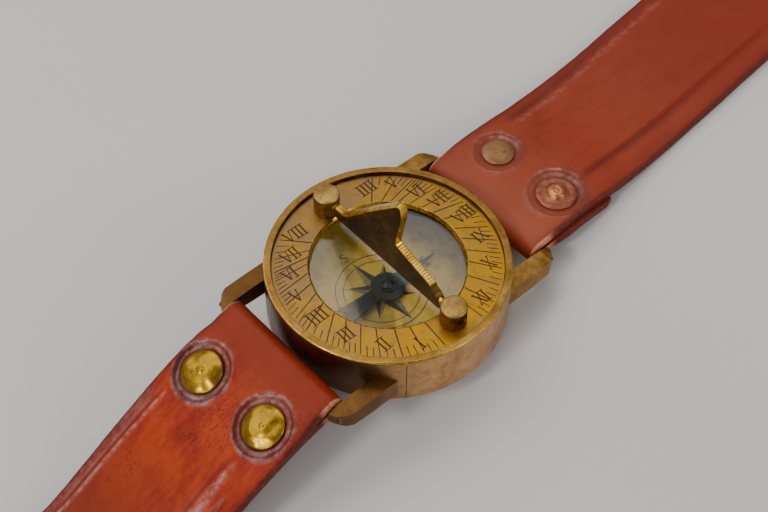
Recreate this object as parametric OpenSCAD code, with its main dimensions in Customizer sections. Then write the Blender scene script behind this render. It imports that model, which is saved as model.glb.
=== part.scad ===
// Folding sundial with a compass under its glass, worn on a two-piece leather strap.
// It lies on a table: the tip half of the strap is flat on the table and the case leans on its edge,
// because the stiff buckle half of the strap arches under it.
// Origin: centre of the flat face of the case back. +Z is the table's normal, +X runs along the strap
// to the buckle, +Y runs along the gnomon to the noon post.

/* [Case] */
// Outer radius of the case
case_r = 23; // [22.8:0.1:23.1]
// Height of the case from its back to the top of the rim
case_h = 11.6; // [11.4:0.1:12.4]
// Thickness of the case wall
wall = 1.45; // [1.3:0.05:1.5]
// Angle at which the case leans on the table, buckle side up
case_tilt = 12.3; // [12:0.1:12.6]
// Thickness of the case back
back_t = 1.2; // [1:0.1:1.2]
// Depth of the hour plate below the rim
plate_drop = 0.9; // [0.7:0.1:1]
// Radius of the window in the hour plate
window_r = 14.5; // [14:0.1:15]
// Thickness of the glass
glass_t = 0.8; // [0.8:0.1:1.5]

/* [Gnomon] */
// Thickness of the gnomon plate
gnomon_t = 1.6; // [1.4:0.1:2]
// Height of the gnomon's pivot above the case back
pivot_z = 13.4; // [13.4:0.1:13.6]
// Distance of each post from the centre
post_y = 17.4; // [17.3:0.1:17.6]
// Radius of each post
post_r = 2.5; // [2.3:0.1:2.6]

/* [Needle] */
// Length of each arm of the needle
needle_len = 12; // [10:0.5:13]
// Height of the needle above the case back
needle_z = 3.0; // [2.9:0.1:3.6]

/* [Lugs] */
// Distance of each strap bar from the case axis
bar_x = 25.9; // [25.9:0.1:26.3]
// Radius of the strap bars
bar_r = 0.8; // [0.7:0.05:0.9]
// Height of the bar at the buckle side above the case back
bar_z_buckle = 4.2; // [4.1:0.1:4.4]
// Height of the bar at the tip side above the case back
bar_z_tip = 5.9; // [5.7:0.1:6]

/* [Strap] */
// Width of the buckle half of the strap
strap_w = 30.2; // [29.4:0.2:30.4]
// Width of the tip half of the strap
tip_w = 29; // [28:0.2:29.2]
// Width of the buckle half between the lugs
neck_w = 29; // [28:0.2:29.2]
// Thickness of the leather
leather_t = 2.4; // [2.3:0.05:2.45]
// Thickness of the leather where it turns round a bar
loop_t = 1.75; // [1.6:0.05:1.75]
// Distance between the adjusting holes
hole_pitch = 7.5; // [6:0.5:7.5]
// Number of adjusting holes
hole_count = 6; // [4:1:6]

/* [Hidden] */
$fn = 96;

brass = [0.66, 0.50, 0.22];
dark_brass = [0.42, 0.32, 0.16];
steel = [0.16, 0.2, 0.2];
leather = [0.52, 0.17, 0.07];

inner_r = case_r - wall;                 // inside of the wall
edge_ch = 0.3;                           // chamfer on the wall's lower edge
plate_top = case_h - plate_drop;
plate_t = 1;
glass_top = plate_top - plate_t;
card_top = back_t + 0.8;
table_z = -(case_r - edge_ch) * sin(case_tilt);   // the table under the leaning case
fit = 0.05;                              // running clearance of the strap loops on their bars
loop_r = bar_r + fit + loop_t;           // outside of a strap loop
buckle_bar_r = 1.1;
buckle_hole_r = buckle_bar_r + 0.08;
buckle_loop_r = buckle_hole_r + 1.9;
buckle_u = 108;                          // distance of the buckle bar from the origin

// a point of the case plane, [distance outward, height], on the table's plane coordinates
function lean(p) = [p[0] * cos(case_tilt) - p[1] * sin(case_tilt), p[0] * sin(case_tilt) + p[1] * cos(case_tilt)];
bar_b = lean([bar_x, bar_z_buckle]);     // buckle-side bar, [x, z]
bar_t = lean([-bar_x, bar_z_tip]);       // tip-side bar, [x, z]
hb = bar_b[1] - table_z;                 // heights of the bars above the table
ht = bar_t[1] - table_z;

// smooth curve through a list of points
function cr(a, b, c, d, t) = 0.5 * (2 * b + (c - a) * t + (2 * a - 5 * b + 4 * c - d) * t * t + (3 * b - 3 * c + d - a) * t * t * t);
function smooth(p, n) = concat([for (i = [0 : len(p) - 2]) for (k = [0 : n - 1])
    cr(p[max(i - 1, 0)], p[i], p[i + 1], p[min(i + 2, len(p) - 1)], k / n)], [p[len(p) - 1]]);
function tang(p, i) = let (v = p[min(i + 1, len(p) - 1)] - p[max(i - 1, 0)]) v / norm(v);
function below(p, d) = [for (i = [0 : len(p) - 1]) let (t = tang(p, i)) p[i] + d * [t[1], -t[0]]];
function head(p) = [for (i = [0 : len(p) - 2]) p[i]];
function rev(p) = [for (i = [len(p) - 1 : -1 : 0]) p[i]];

// top surface of the buckle half, [distance outward, height above the table], from its bar to its buckle
top_b1 = smooth([[bar_b[0], hb + loop_r], [28, hb + loop_r - 0.65], [32, 15.7], [36, 15], [41, 13.8], [47, 12.1]], 5);
top_b2 = smooth([[47, 12.1], [55.4, 9.2], [61, 7.2], [66.6, 5.1], [70.6, 3.85], [74, 3.3], [77.4, 3.65], [80.4, 3.95]], 4);
top_b3 = smooth([[91.5, 3.95], [94, 4.35], [96, 4.4], [102.5, 4.4], [105.5, 5.4], [buckle_u, 2 * buckle_loop_r + 0.02]], 4);
// underside of its lug fold, back to the bar
under_b = smooth([[44.4, 8.45], [40, 9.7], [35, 10.8], [30, 11.6], [bar_b[0], hb - loop_r]], 5);

// top surface of the tip half, from its bar to its tip
top_t1 = smooth([[-bar_t[0] - 0.4, ht + loop_r - 0.25], [30, ht + loop_r - 0.05], [34, 7.3], [39.5, 6.3], [43, 5.5], [46.5, 4.65]], 5);
top_t2 = smooth([[46.5, 4.65], [52, 3.6], [57, 3.0], [62, 2.6], [67, leather_t]], 4);
under_t = smooth([[45.2, 0.5], [42, 1.3], [38, 2.2], [34, 2.8], [30.5, 2.85], [-bar_t[0] - 0.4, ht - loop_r + 0.3]], 5);
// rivets of the lug folds, [distance outward, y, height]
rivets_b = [[36.1, -8.6, 14.97], [35.2, 8, 15.14]];
rivets_t = [[36.4, -6.9, 6.88], [37.4, 8.1, 6.69]];
tip_u = 152;

// ---------------------------------------------------------------- helpers
module leaned() { rotate([0, -case_tilt, 0]) children(); }
module ring(r1, r2, z0, z1) {
    translate([0, 0, z0]) difference() {
        cylinder(r = r2, h = z1 - z0);
        translate([0, 0, -1]) cylinder(r = r1, h = z1 - z0 + 2);
    }
}
module along_y(r, y0, y1) { translate([0, y1, 0]) rotate([90, 0, 0]) cylinder(r = r, h = y1 - y0); }
module side_slab(pts, w) { rotate([90, 0, 0]) translate([0, 0, -w / 2]) linear_extrude(height = w) polygon(pts); }
// moves to a place on the top of the strap: u outward, h above the table, leaning down outward by a
module on_strap(side, u, y, h, a) { translate([side * u, y, table_z + h]) rotate([0, side * a, 0]) children(); }
function placed(side, p) = [for (q = p) [side * q[0], table_z + q[1]]];

// ---------------------------------------------------------------- case
module case_ring() color(brass) leaned() rotate_extrude()
    polygon([[inner_r, 0], [case_r - edge_ch, 0], [case_r, edge_ch + 0.15], [case_r, case_h - 0.3], [case_r - 0.3, case_h],
             [inner_r + 0.2, case_h], [inner_r, case_h - 0.2]]);
module case_back() color(brass) leaned() cylinder(r = inner_r - 0.01, h = back_t);
module lug(side, n, zc) color(brass) leaned() difference() {
    intersection() {
        translate([0, 0, zc - 4]) linear_extrude(height = 8)
            polygon([for (q = [[11, 14.9], [11, 18.3], [24.2, 18.3], [25.4, 17.8], [26.9, 16.3], [27.5, 14.9]]) [side * q[0], n * q[1]]]);
        rotate([90, 0, 0]) translate([0, 0, -20]) linear_extrude(height = 40)
            polygon([for (q = [[10, -2.1], [10, 2], [20, 2], [25, 1.75], [27.2, 1.3], [27.5, 0.9], [27.5, -0.9], [27.2, -1.3], [25.6, -1.5], [20, -2]]) [side * q[0], zc + q[1]]]);
    }
    translate([0, 0, -1]) cylinder(r = case_r, h = case_h + 2);
    translate([side * bar_x, 0, zc]) along_y(bar_r, -20, 20);
}
module lug_buckle_north() lug(1, 1, bar_z_buckle);
module lug_buckle_south() lug(1, -1, bar_z_buckle);
module lug_tip_north() lug(-1, 1, bar_z_tip);
module lug_tip_south() lug(-1, -1, bar_z_tip);
module strap_bar_buckle() color(dark_brass) translate([bar_b[0], 0, bar_b[1]]) along_y(bar_r, -17.1, 17.1);
module strap_bar_tip() color(dark_brass) translate([bar_t[0], 0, bar_t[1]]) along_y(bar_r, -17.1, 17.1);

module compass_card() color([0.72, 0.6, 0.25]) leaned() translate([0, 0, back_t]) cylinder(r = inner_r - 0.1, h = card_top - back_t);
module needle_pivot() color([0.7, 0.7, 0.7]) leaned() translate([0, 0, card_top]) {
    cylinder(r = 1.6, h = 0.3, $fn = 32);
    translate([0, 0, 0.3]) cylinder(r = 0.4, h = 1.3, $fn = 32);
    translate([0, 0, 1.6]) cylinder(r1 = 0.4, r2 = 0.05, h = 0.4, $fn = 32);
}
module spacer_ring() color(dark_brass) leaned() ring(19.2, inner_r - 0.1, card_top, glass_top - glass_t - 0.3);
module glass_seal() color([0.1, 0.1, 0.1]) leaned() ring(18.6, inner_r - 0.1, glass_top - glass_t - 0.3, glass_top - glass_t);
module glass() color([0.8, 0.85, 0.85, 0.4]) leaned() translate([0, 0, glass_top - glass_t]) cylinder(r = inner_r - 0.1, h = glass_t);
module hour_plate() color(brass) leaned() difference() {
    rotate_extrude() polygon([[window_r + 0.25, glass_top], [inner_r - 0.01, glass_top], [inner_r - 0.01, plate_top], [window_r + 0.35, plate_top], [window_r, plate_top - 0.35], [window_r, glass_top + 0.3]]);
    for (s = [-1, 1]) translate([0, s * post_y, 0]) cylinder(r = 1.2, h = 20, $fn = 48);
}
module post(s) color(dark_brass) leaned() difference() {
    translate([0, s * post_y, 0]) union() {
        translate([0, 0, glass_top]) cylinder(r = 1.2, h = plate_t, $fn = 48);
        translate([0, 0, plate_top]) cylinder(r = post_r, h = 4.2, $fn = 64);
        translate([0, 0, plate_top + 4.2]) cylinder(r1 = post_r, r2 = post_r - 0.3, h = 0.3, $fn = 64);
    }
    translate([0, 0, pivot_z]) along_y(0.8, s > 0 ? 10 : -25, s > 0 ? 25 : -10, $fn = 48);
    translate([0, 0, pivot_z]) along_y(1.15, s > 0 ? post_y + 1.6 : -25, s > 0 ? 25 : -post_y - 1.6, $fn = 48);
}
module post_north() post(1);
module post_south() post(-1);

// ---------------------------------------------------------------- gnomon
// outline across the dial, [y, z]: bottom edge, rounded tab, low wall, hollow back edge, apex, style edge, south tab
module gnomon() color(dark_brass) leaned() union() {
    translate([-gnomon_t / 2, 0, 0]) rotate([90, 0, 90]) linear_extrude(height = gnomon_t)
        polygon([[-14.5, 11.9], [14.4, 11.9], [14.5, 12.6], [14.3, 13.6], [13.8, 14.3], [13.2, 15.0], [12.3, 15.3],
                 [11.9, 16.2], [10.4, 16.6], [8.7, 16.9], [6.7, 17.5], [4.3, 18.4], [2.9, 19.0], [2.7, 19.9], [2.9, 21.4],
                 [3.3, 23.5], [3.8, 26.0], [4.0, 28.0], [3.8, 29.4], [3.4, 30.0], [2.8, 30.1], [2.1, 29.8],
                 [-4.4, 23.0], [-9.7, 17.0], [-11.6, 14.9], [-12.2, 14.6], [-14.0, 14.6], [-14.5, 14.1]]);
    for (s = [-1, 1]) translate([0, 0, pivot_z]) along_y(0.75, s > 0 ? 14 : -18.8, s > 0 ? 18.8 : -14, $fn = 48);
}

// ---------------------------------------------------------------- needle
module needle() color(steel) leaned() translate([0, 0, needle_z]) difference() {
    union() {
        cylinder(r = 3.3, h = 0.4, $fn = 64);
        linear_extrude(height = 0.4) polygon([[0, -1.3], [needle_len - 1, -1.8], [needle_len - 2.4, 0], [needle_len - 1, 1.8], [0, 1.3]]);
        linear_extrude(height = 0.4) polygon([[0, -1.5], [-needle_len, 0], [0, 1.5]]);
    }
    translate([0, 0, -1]) cylinder(r = 1.1, h = 3, $fn = 48);
}
module needle_cap() color(brass) leaned() translate([0, 0, needle_z]) difference() {
    union() { cylinder(r = 1.1, h = 1.2, $fn = 48); translate([0, 0, 0.4]) cylinder(r = 1.5, h = 0.5, $fn = 48); translate([0, 0, 1.2]) cylinder(r1 = 1.1, r2 = 0.6, h = 0.4, $fn = 48); }
    translate([0, 0, -0.5]) cylinder(r = 0.7, h = 1.3, $fn = 32);
    translate([0, 0, 0.8]) cylinder(r1 = 0.7, r2 = 0.2, h = 0.4, $fn = 32);
}

// ---------------------------------------------------------------- buckle half of the strap
module leather_buckle() color(leather) difference() {
    union() {
        side_slab(placed(1, concat(head(top_b1), top_b2, top_b3,
            [[buckle_u, 0.02], [104.5, 0.02], [93.5, 0.02], [93, 1.4], [92, 3.95 - leather_t], [81.5, 3.95 - leather_t]],
            rev(below(top_b2, leather_t)), under_b)), strap_w);
        translate([bar_b[0], 0, bar_b[1]]) along_y(loop_r, -strap_w / 2, strap_w / 2);
        translate([buckle_u, 0, table_z + buckle_loop_r + 0.02]) along_y(buckle_loop_r, -strap_w / 2, strap_w / 2);
    }
    translate([bar_b[0], 0, bar_b[1]]) along_y(bar_r + fit, -20, 20);
    translate([buckle_u, 0, table_z + buckle_loop_r + 0.02]) along_y(buckle_hole_r, -20, 20);
    // the neck between the lugs, and the slot for the prong
    for (s = [-1, 1]) translate([bar_b[0] - 6, s > 0 ? neck_w / 2 : -neck_w / 2 - 5, bar_b[1] - 6]) cube([9.2, 5, 12]);
    translate([102.5, -2, table_z - 1]) cube([12, 4, 12]);
    // rivet holes
    for (q = rivets_b) on_strap(1, q[0], q[1], q[2], 12) translate([0, 0, -8]) cylinder(r = 1.52, h = 12, $fn = 48);
    for (s = [-1, 1]) on_strap(1, 100.5, 9 * s, 4.4, 0) translate([0, 0, -8]) cylinder(r = 1.02, h = 12, $fn = 48);
    for (s = [-1, 1]) on_strap(1, 100.5, 9 * s, 0, 0) cylinder(r = 2.02, h = 0.5, $fn = 48);
    // pockets for the ends of the fixed keeper
    for (s = [-1, 1]) translate([94.5, s > 0 ? strap_w / 2 - 7 : -strap_w / 2 - 1, table_z + 1.8]) cube([4.5, 8, 0.9]);
}
module rivet_dished(side, u, y, h, a, depth) on_strap(side, u, y, h, a) {
    rotate_extrude($fn = 64) polygon([[0, 0], [3.8, 0], [3.8, 0.3], [3.45, 0.7], [2.9, 0.9], [2.3, 0.85], [1.5, 0.6], [0, 0.5]]);
    translate([0, 0, -depth]) cylinder(r = 1.5, h = depth, $fn = 48);
}
module burr(side, u, y, h, a, d0, t, r1, r2) on_strap(side, u, y, h, a) ring(r1, r2, -d0 - t, -d0);
module rivets_buckle() color(brass) for (q = rivets_b) rivet_dished(1, q[0], q[1], q[2] + 0.06, 12, 5.05);
module burrs_buckle() color(dark_brass) for (q = rivets_b) burr(1, q[0], q[1], q[2] + 0.06, 12, 4.52, 0.5, 1.52, 3);
module end_rivets() color(brass) for (s = [-1, 1]) on_strap(1, 100.5, 9 * s, 4.42, 0) {
    rotate_extrude($fn = 48) polygon([[0, 0], [1.9, 0], [1.85, 0.3], [1.4, 0.6], [0, 0.75]]);
    translate([0, 0, -4.34]) cylinder(r = 1, h = 4.34, $fn = 48);
}
module end_burrs() color(dark_brass) for (s = [-1, 1]) on_strap(1, 100.5, 9 * s, 0.07, 0) ring(1.02, 2, 0, 0.4);
module keeper_fixed() color(leather) difference() {
    translate([94.5, -17, table_z + 1.8]) cube([4.5, 34, 6.2]);
    translate([94, -strap_w / 2 - 0.9, table_z + 2.7]) cube([7, strap_w + 1.8, 4.4]);
    translate([94, -strap_w / 2 + 7, table_z - 1]) cube([7, strap_w - 14, 5]);
}
module keeper_free() color(leather) difference() {
    translate([83.5, -17, table_z + 0.2]) cube([5, 34, 7.6]);
    translate([82, -15.8, table_z + 1.25]) cube([8, 31.6, 5.5]);
}

// ---------------------------------------------------------------- buckle
module at_buckle() { translate([buckle_u, 0, table_z + buckle_loop_r + 0.02]) rotate([0, 5.6, 0]) children(); }
module rounded(x0, x1, w, r) {
    translate([x0, -w / 2]) square([x1 - x0 - r, w]);
    translate([x1 - r - 0.01, -w / 2 + r]) square([r + 0.01, w - 2 * r]);
    for (s = [-1, 1]) translate([x1 - r, s * (w / 2 - r)]) circle(r = r, $fn = 64);
}
module buckle_frame() color(brass) at_buckle() difference() {
    union() {
        translate([0, 0, -1.3]) linear_extrude(height = 2.6) difference() {
            rounded(0, 18, 37, 4);
            translate([-1, 0]) rounded(0, 15.6, 31.4, 2);
        }
        for (s = [-1, 1]) along_y(2.2, s > 0 ? 15.7 : -18.5, s > 0 ? 18.5 : -15.7);
    }
    along_y(buckle_bar_r, -30, 30);
}
module buckle_bar() color(dark_brass) at_buckle() along_y(buckle_bar_r, -18.5, 18.5);
module buckle_prong() color(brass) at_buckle() difference() {
    union() {
        along_y(2.3, -1.6, 1.6);
        rotate([90, 0, 0]) translate([0, 0, -1]) linear_extrude(height = 2) polygon([[0.5, 0.5], [1.2, 2.2], [6, 2.9], [16, 3.0], [18.6, 2.5], [18.6, 2.0], [16, 1.6], [6, 1.4]]);
    }
    along_y(buckle_hole_r, -5, 5);
}

// ---------------------------------------------------------------- tip half of the strap
// half of the plan of the tip, [distance outward, half width]
tip_side = [[-bar_t[0] - loop_r - 1, tip_w / 2], [tip_u - 14, tip_w / 2], [tip_u - 10, tip_w / 2 - 0.7], [tip_u - 6, tip_w / 2 - 3],
            [tip_u - 3.2, tip_w / 2 - 6], [tip_u - 1.2, 4.8], [tip_u - 0.3, 2.4]];
module tip_outline() polygon(concat([for (q = tip_side) [-q[0], q[1]]], [[-tip_u, 0]], [for (q = rev(tip_side)) [-q[0], -q[1]]]));
module leather_tip() color(leather) difference() {
    intersection() {
        union() {
            side_slab(placed(-1, concat(head(top_t1), top_t2, [[tip_u + 2, leather_t], [tip_u + 2, 0], [68, 0]], rev(below(head(top_t2), leather_t)), under_t)), tip_w + 4);
            translate([bar_t[0], 0, bar_t[1]]) along_y(loop_r, -tip_w / 2 - 2, tip_w / 2 + 2);
        }
        translate([0, 0, table_z - 5]) linear_extrude(height = 30) tip_outline();
    }
    translate([bar_t[0], 0, bar_t[1]]) along_y(bar_r + fit, -20, 20);
    for (q = rivets_t) on_strap(-1, q[0], q[1], q[2], 10.5) translate([0, 0, -8]) cylinder(r = 1.52, h = 12, $fn = 48);
    for (i = [0 : hole_count - 1]) translate([-104 - i * hole_pitch, 0, table_z - 1]) cylinder(r = 1.25, h = 5, $fn = 48);
}
module rivets_tip() color(dark_brass) for (q = rivets_t) on_strap(-1, q[0], q[1], q[2] + 0.06, 10.5) {
    rotate_extrude($fn = 64) polygon([[0, 0], [4.3, 0], [4.3, 0.25], [3.9, 0.55], [3.3, 0.6], [2.7, 0.4], [1.9, 0.4], [1.7, 0.8], [1.2, 1.15], [0, 1.3]]);
    translate([0, 0, -5.15]) cylinder(r = 1.5, h = 5.15, $fn = 48);
}
module burrs_tip() color(dark_brass) for (q = rivets_t) burr(-1, q[0], q[1], q[2] + 0.06, 10.5, 4.68, 0.45, 1.52, 2.7);

case_ring();
case_back();
lug_buckle_north();
lug_buckle_south();
lug_tip_north();
lug_tip_south();
strap_bar_buckle();
strap_bar_tip();
compass_card();
needle_pivot();
spacer_ring();
glass_seal();
glass();
hour_plate();
post_north();
post_south();
gnomon();
needle();
needle_cap();
leather_buckle();
rivets_buckle();
burrs_buckle();
keeper_fixed();
end_rivets();
end_burrs();
buckle_frame();
buckle_bar();
buckle_prong();
keeper_free();
leather_tip();
rivets_tip();
burrs_tip();
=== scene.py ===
import bpy, bmesh, math, random
from mathutils import Vector, Matrix, noise


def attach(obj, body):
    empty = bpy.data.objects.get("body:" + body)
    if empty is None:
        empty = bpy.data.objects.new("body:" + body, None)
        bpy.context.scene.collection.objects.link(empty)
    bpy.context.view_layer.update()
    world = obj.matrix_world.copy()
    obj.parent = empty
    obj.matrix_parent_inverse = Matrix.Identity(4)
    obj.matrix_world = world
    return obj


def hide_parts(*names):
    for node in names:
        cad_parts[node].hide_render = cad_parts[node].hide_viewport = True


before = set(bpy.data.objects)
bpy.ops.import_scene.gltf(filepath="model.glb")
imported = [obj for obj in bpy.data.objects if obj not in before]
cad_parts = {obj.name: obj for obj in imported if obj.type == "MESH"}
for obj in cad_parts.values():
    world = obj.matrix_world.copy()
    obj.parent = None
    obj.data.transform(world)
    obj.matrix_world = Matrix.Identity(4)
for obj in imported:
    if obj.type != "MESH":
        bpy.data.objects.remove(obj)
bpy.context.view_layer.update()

MM = 0.001
TILT = math.radians(12.3)
TABLE = -4.8358
random.seed(7)


# ------------------------------------------------------------------ frames, mm
def case_pt(x, y, z):
    """A point of the leaning case in the row frame."""
    return (x * math.cos(TILT) - z * math.sin(TILT), y, x * math.sin(TILT) + z * math.cos(TILT))


CASE = Matrix.Rotation(-TILT, 4, "Y")
WORLD = Matrix.Identity(4)


def on_strap(side, u, y, h, lean_deg):
    """Frame on the top of a strap half: u outward, h above the table, leaning down outward."""
    return Matrix.Translation((side * u, y, TABLE + h)) @ Matrix.Rotation(math.radians(side * lean_deg), 4, "Y")


# ------------------------------------------------------------------ materials
def lin(c):
    """Linear colour from 0-255 display values."""
    out = []
    for v in c:
        v = v / 255
        out.append(v / 12.92 if v <= 0.04045 else ((v + 0.055) / 1.055) ** 2.4)
    return (*out, 1)


class Mat:
    """Small helper for node materials; coordinates are the object's own, in millimetres."""

    def __init__(s, name):
        s.m = bpy.data.materials.new(name)
        s.m.use_nodes = True
        s.t = s.m.node_tree
        s.t.nodes.clear()
        s.out = s.n("ShaderNodeOutputMaterial")
        s.b = s.n("ShaderNodeBsdfPrincipled")
        s.l(s.b.outputs[0], s.out.inputs["Surface"])
        tc = s.n("ShaderNodeTexCoord")
        sc = s.n("ShaderNodeMapping")
        s.l(tc.outputs["Object"], sc.inputs["Vector"])
        sc.inputs["Scale"].default_value = (1000, 1000, 1000)
        s.v = sc.outputs[0]

    def n(s, kind, **kw):
        node = s.t.nodes.new(kind)
        for k, v in kw.items():
            setattr(node, k, v)
        return node

    def l(s, a, b):
        s.t.links.new(a, b)

    def stretch(s, scale, rot=(0, 0, 0), loc=(0, 0, 0)):
        m = s.n("ShaderNodeMapping")
        s.l(s.v, m.inputs["Vector"])
        m.inputs["Scale"].default_value = scale
        m.inputs["Rotation"].default_value = [math.radians(r) for r in rot]
        m.inputs["Location"].default_value = loc
        return m.outputs[0]

    def noise(s, scale, detail=4, rough=0.55, vec=None, dist=0.0, loc=None):
        k = s.n("ShaderNodeTexNoise")
        if vec is None and loc is not None:
            vec = s.stretch((1, 1, 1), loc=loc)
        s.l(vec or s.v, k.inputs["Vector"])
        k.inputs["Scale"].default_value = scale
        k.inputs["Detail"].default_value = detail
        k.inputs["Roughness"].default_value = rough
        k.inputs["Distortion"].default_value = dist
        return k.outputs[0]

    def voronoi(s, scale, feature="F1", vec=None):
        k = s.n("ShaderNodeTexVoronoi", feature=feature)
        s.l(vec or s.v, k.inputs["Vector"])
        k.inputs["Scale"].default_value = scale
        return k.outputs["Distance"]

    def ramp(s, fac, stops, interp="LINEAR"):
        k = s.n("ShaderNodeValToRGB")
        k.color_ramp.interpolation = interp
        e = k.color_ramp.elements
        while len(e) > 1:
            e.remove(e[-1])
        e[0].position = stops[0][0]
        e[0].color = s._c(stops[0][1])
        for p, c in stops[1:]:
            q = e.new(p)
            q.color = s._c(c)
        s.l(fac, k.inputs["Fac"])
        return k.outputs["Color"]

    def _c(s, c):
        return (c, c, c, 1) if isinstance(c, (int, float)) else c

    def mix(s, fac, a, b, mode="MIX"):
        k = s.n("ShaderNodeMix", data_type="RGBA", blend_type=mode)
        if isinstance(fac, (int, float)):
            k.inputs[0].default_value = fac
        else:
            s.l(fac, k.inputs[0])
        for v, i in ((a, 6), (b, 7)):
            if isinstance(v, tuple):
                k.inputs[i].default_value = v
            else:
                s.l(v, k.inputs[i])
        return k.outputs[2]

    def math(s, op, a, b=None, c=None, clamp=False):
        k = s.n("ShaderNodeMath", operation=op, use_clamp=clamp)
        for i, v in enumerate((a, b, c)):
            if v is None:
                continue
            if isinstance(v, (int, float)):
                k.inputs[i].default_value = v
            else:
                s.l(v, k.inputs[i])
        return k.outputs[0]

    def range(s, v, a, b, c, d):
        k = s.n("ShaderNodeMapRange")
        s.l(v, k.inputs["Value"])
        for i, q in zip(("From Min", "From Max", "To Min", "To Max"), (a, b, c, d)):
            k.inputs[i].default_value = q
        return k.outputs["Result"]

    def attr(s, name):
        k = s.n("ShaderNodeAttribute", attribute_name=name)
        return k.outputs["Fac"]

    def bump(s, height, strength, dist_mm, normal=None):
        k = s.n("ShaderNodeBump")
        s.l(height, k.inputs["Height"])
        k.inputs["Strength"].default_value = strength
        k.inputs["Distance"].default_value = dist_mm * MM
        if normal is not None:
            s.l(normal, k.inputs["Normal"])
        return k.outputs["Normal"]

    def set(s, **kw):
        for k, v in kw.items():
            sock = s.b.inputs[k.replace("_", " ")]
            if isinstance(v, (int, float, tuple)):
                sock.default_value = v
            else:
                s.l(v, sock)


def brass(name, tones, rough=(0.26, 0.46), stain=None, stain_amount=0.35, scratch=0.25, grain=0.35, seed=0.0, metal=1.0, scale=1.0, painted_shade=0.0, lean=0.0):
    """Aged brass: three tones in soft patches, dark tarnish stains, fine scratches and a hammered micro relief."""
    m = Mat(name)
    big = m.noise(0.16 * scale, 4, 0.6, loc=(seed, 3.1, 1.7), dist=0.4)
    mid = m.noise(0.75 * scale, 5, 0.62, loc=(1.3, seed, 8.4), dist=0.3)
    fine = m.noise(5.0, 4, 0.6, loc=(4.4, 2.2, seed))
    f = m.math("ADD", m.math("MULTIPLY", big, 0.6), m.math("MULTIPLY", mid, 0.4))
    if lean:
        # the tone ramp shifts gradually across the face, towards its last tone on the +Y side and on the -X side
        part = m.n("ShaderNodeSeparateXYZ")
        m.l(m.v, part.inputs[0])
        f = m.math("ADD", f, m.math("MULTIPLY", m.math("SUBTRACT", part.outputs["Y"], m.math("MULTIPLY", part.outputs["X"], 0.35)), lean))
    col = m.ramp(f, [(0.36, tones[0]), (0.5, tones[1]), (0.66, tones[2])])
    col = m.mix(m.range(fine, 0.35, 0.7, 0.0, 0.22), col, tones[0])
    if stain is not None:
        spots = m.ramp(m.noise(0.42 * scale, 6, 0.7, loc=(seed, 9.0, seed), dist=0.8), [(0.53, 0.0), (0.63, 1.0)])
        col = m.mix(m.math("MULTIPLY", spots, stain_amount), col, stain)
        tiny = m.ramp(m.noise(2.6, 3, 0.6, loc=(seed, 5.0, 2.0)), [(0.62, 0.0), (0.7, 1.0)])
        col = m.mix(m.math("MULTIPLY", tiny, stain_amount * 0.8), col, stain)
    if painted_shade:
        # painted shade: the side of the wall towards the buckle (+X, a little towards -Y) is darkened towards a dark
        # brown, deepest at that end; the other side keeps its bright tones
        sep = m.n("ShaderNodeSeparateXYZ")
        m.l(m.v, sep.inputs[0])
        k = m.math("ADD", sep.outputs["X"], m.math("MULTIPLY", sep.outputs["Y"], -0.25))
        k = m.math("ADD", k, m.math("MULTIPLY", m.math("SUBTRACT", mid, 0.5), 14.0))
        col = m.mix(m.range(k, 3.0, 13.0, 0.0, painted_shade), col, lin((86, 56, 34)))
    s1 = m.noise(1.0, 2, 0.5, vec=m.stretch((0.35, 9, 9), rot=(0, 0, 24), loc=(seed, 0, 0)))
    s2 = m.noise(1.0, 2, 0.5, vec=m.stretch((9, 0.4, 9), rot=(0, 0, -17), loc=(0, seed, 0)))
    lines = m.math("MAXIMUM", m.ramp(s1, [(0.64, 0.0), (0.7, 1.0)]), m.ramp(s2, [(0.66, 0.0), (0.72, 1.0)]))
    r = m.math("ADD", m.range(mid, 0.3, 0.7, rough[0], rough[1]), m.math("MULTIPLY", fine, 0.08))
    r = m.math("ADD", r, m.math("MULTIPLY", lines, 0.08))
    m.set(Base_Color=col, Metallic=metal, Roughness=r)
    h = m.math("ADD", m.math("MULTIPLY", mid, 0.8), m.math("MULTIPLY", fine, 0.25))
    h = m.math("SUBTRACT", h, m.math("MULTIPLY", lines, scratch))
    m.set(Normal=m.bump(h, grain, 0.06))
    return m.m


M_DIAL = brass("brass_dial_aged", (lin((159, 126, 82)), lin((184, 140, 56)), lin((202, 148, 18))), rough=(0.36, 0.5), stain=lin((132, 88, 48)), stain_amount=0.3, scratch=0.12, grain=0.22, seed=2.0, lean=0.006)
M_RIM = brass("brass_rim_aged", (lin((126, 90, 42)), lin((162, 122, 58)), lin((194, 158, 84))), rough=(0.3, 0.45), stain=lin((126, 72, 44)), stain_amount=0.4, scratch=0.15, grain=0.25, seed=5.0)
# the wall and the lugs take that one-sided painted shade through painted_shade
M_CASE = brass("brass_case_aged", (lin((166, 112, 64)), lin((203, 152, 98)), lin((224, 183, 131))), rough=(0.24, 0.4), stain=lin((140, 96, 60)), stain_amount=0.35, scratch=0.2, grain=0.25, seed=9.0, painted_shade=0.9)
M_LUG = brass("brass_lug_aged", (lin((122, 84, 38)), lin((166, 124, 62)), lin((198, 158, 92))), rough=(0.32, 0.48), stain=lin((96, 66, 32)), stain_amount=0.35, scratch=0.3, grain=0.4, seed=13.0, painted_shade=0.7)
M_POST = brass("brass_post_aged", (lin((98, 68, 32)), lin((146, 108, 54)), lin((172, 134, 74))), rough=(0.3, 0.46), stain=lin((48, 34, 18)), stain_amount=0.55, scratch=0.3, grain=0.5, seed=17.0)
M_DARK = brass("brass_dark_tarnish", (lin((74, 50, 25)), lin((104, 75, 34)), lin((140, 108, 50))), rough=(0.26, 0.42), stain=lin((40, 26, 12)), stain_amount=0.4, scratch=0.3, grain=0.4, seed=21.0)
M_TOP = brass("brass_post_top", (lin((146, 112, 58)), lin((180, 146, 80)), lin((204, 172, 102))), rough=(0.28, 0.42), stain=lin((92, 62, 32)), stain_amount=0.4, scratch=0.3, grain=0.5, seed=19.0, scale=1.6)
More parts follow.
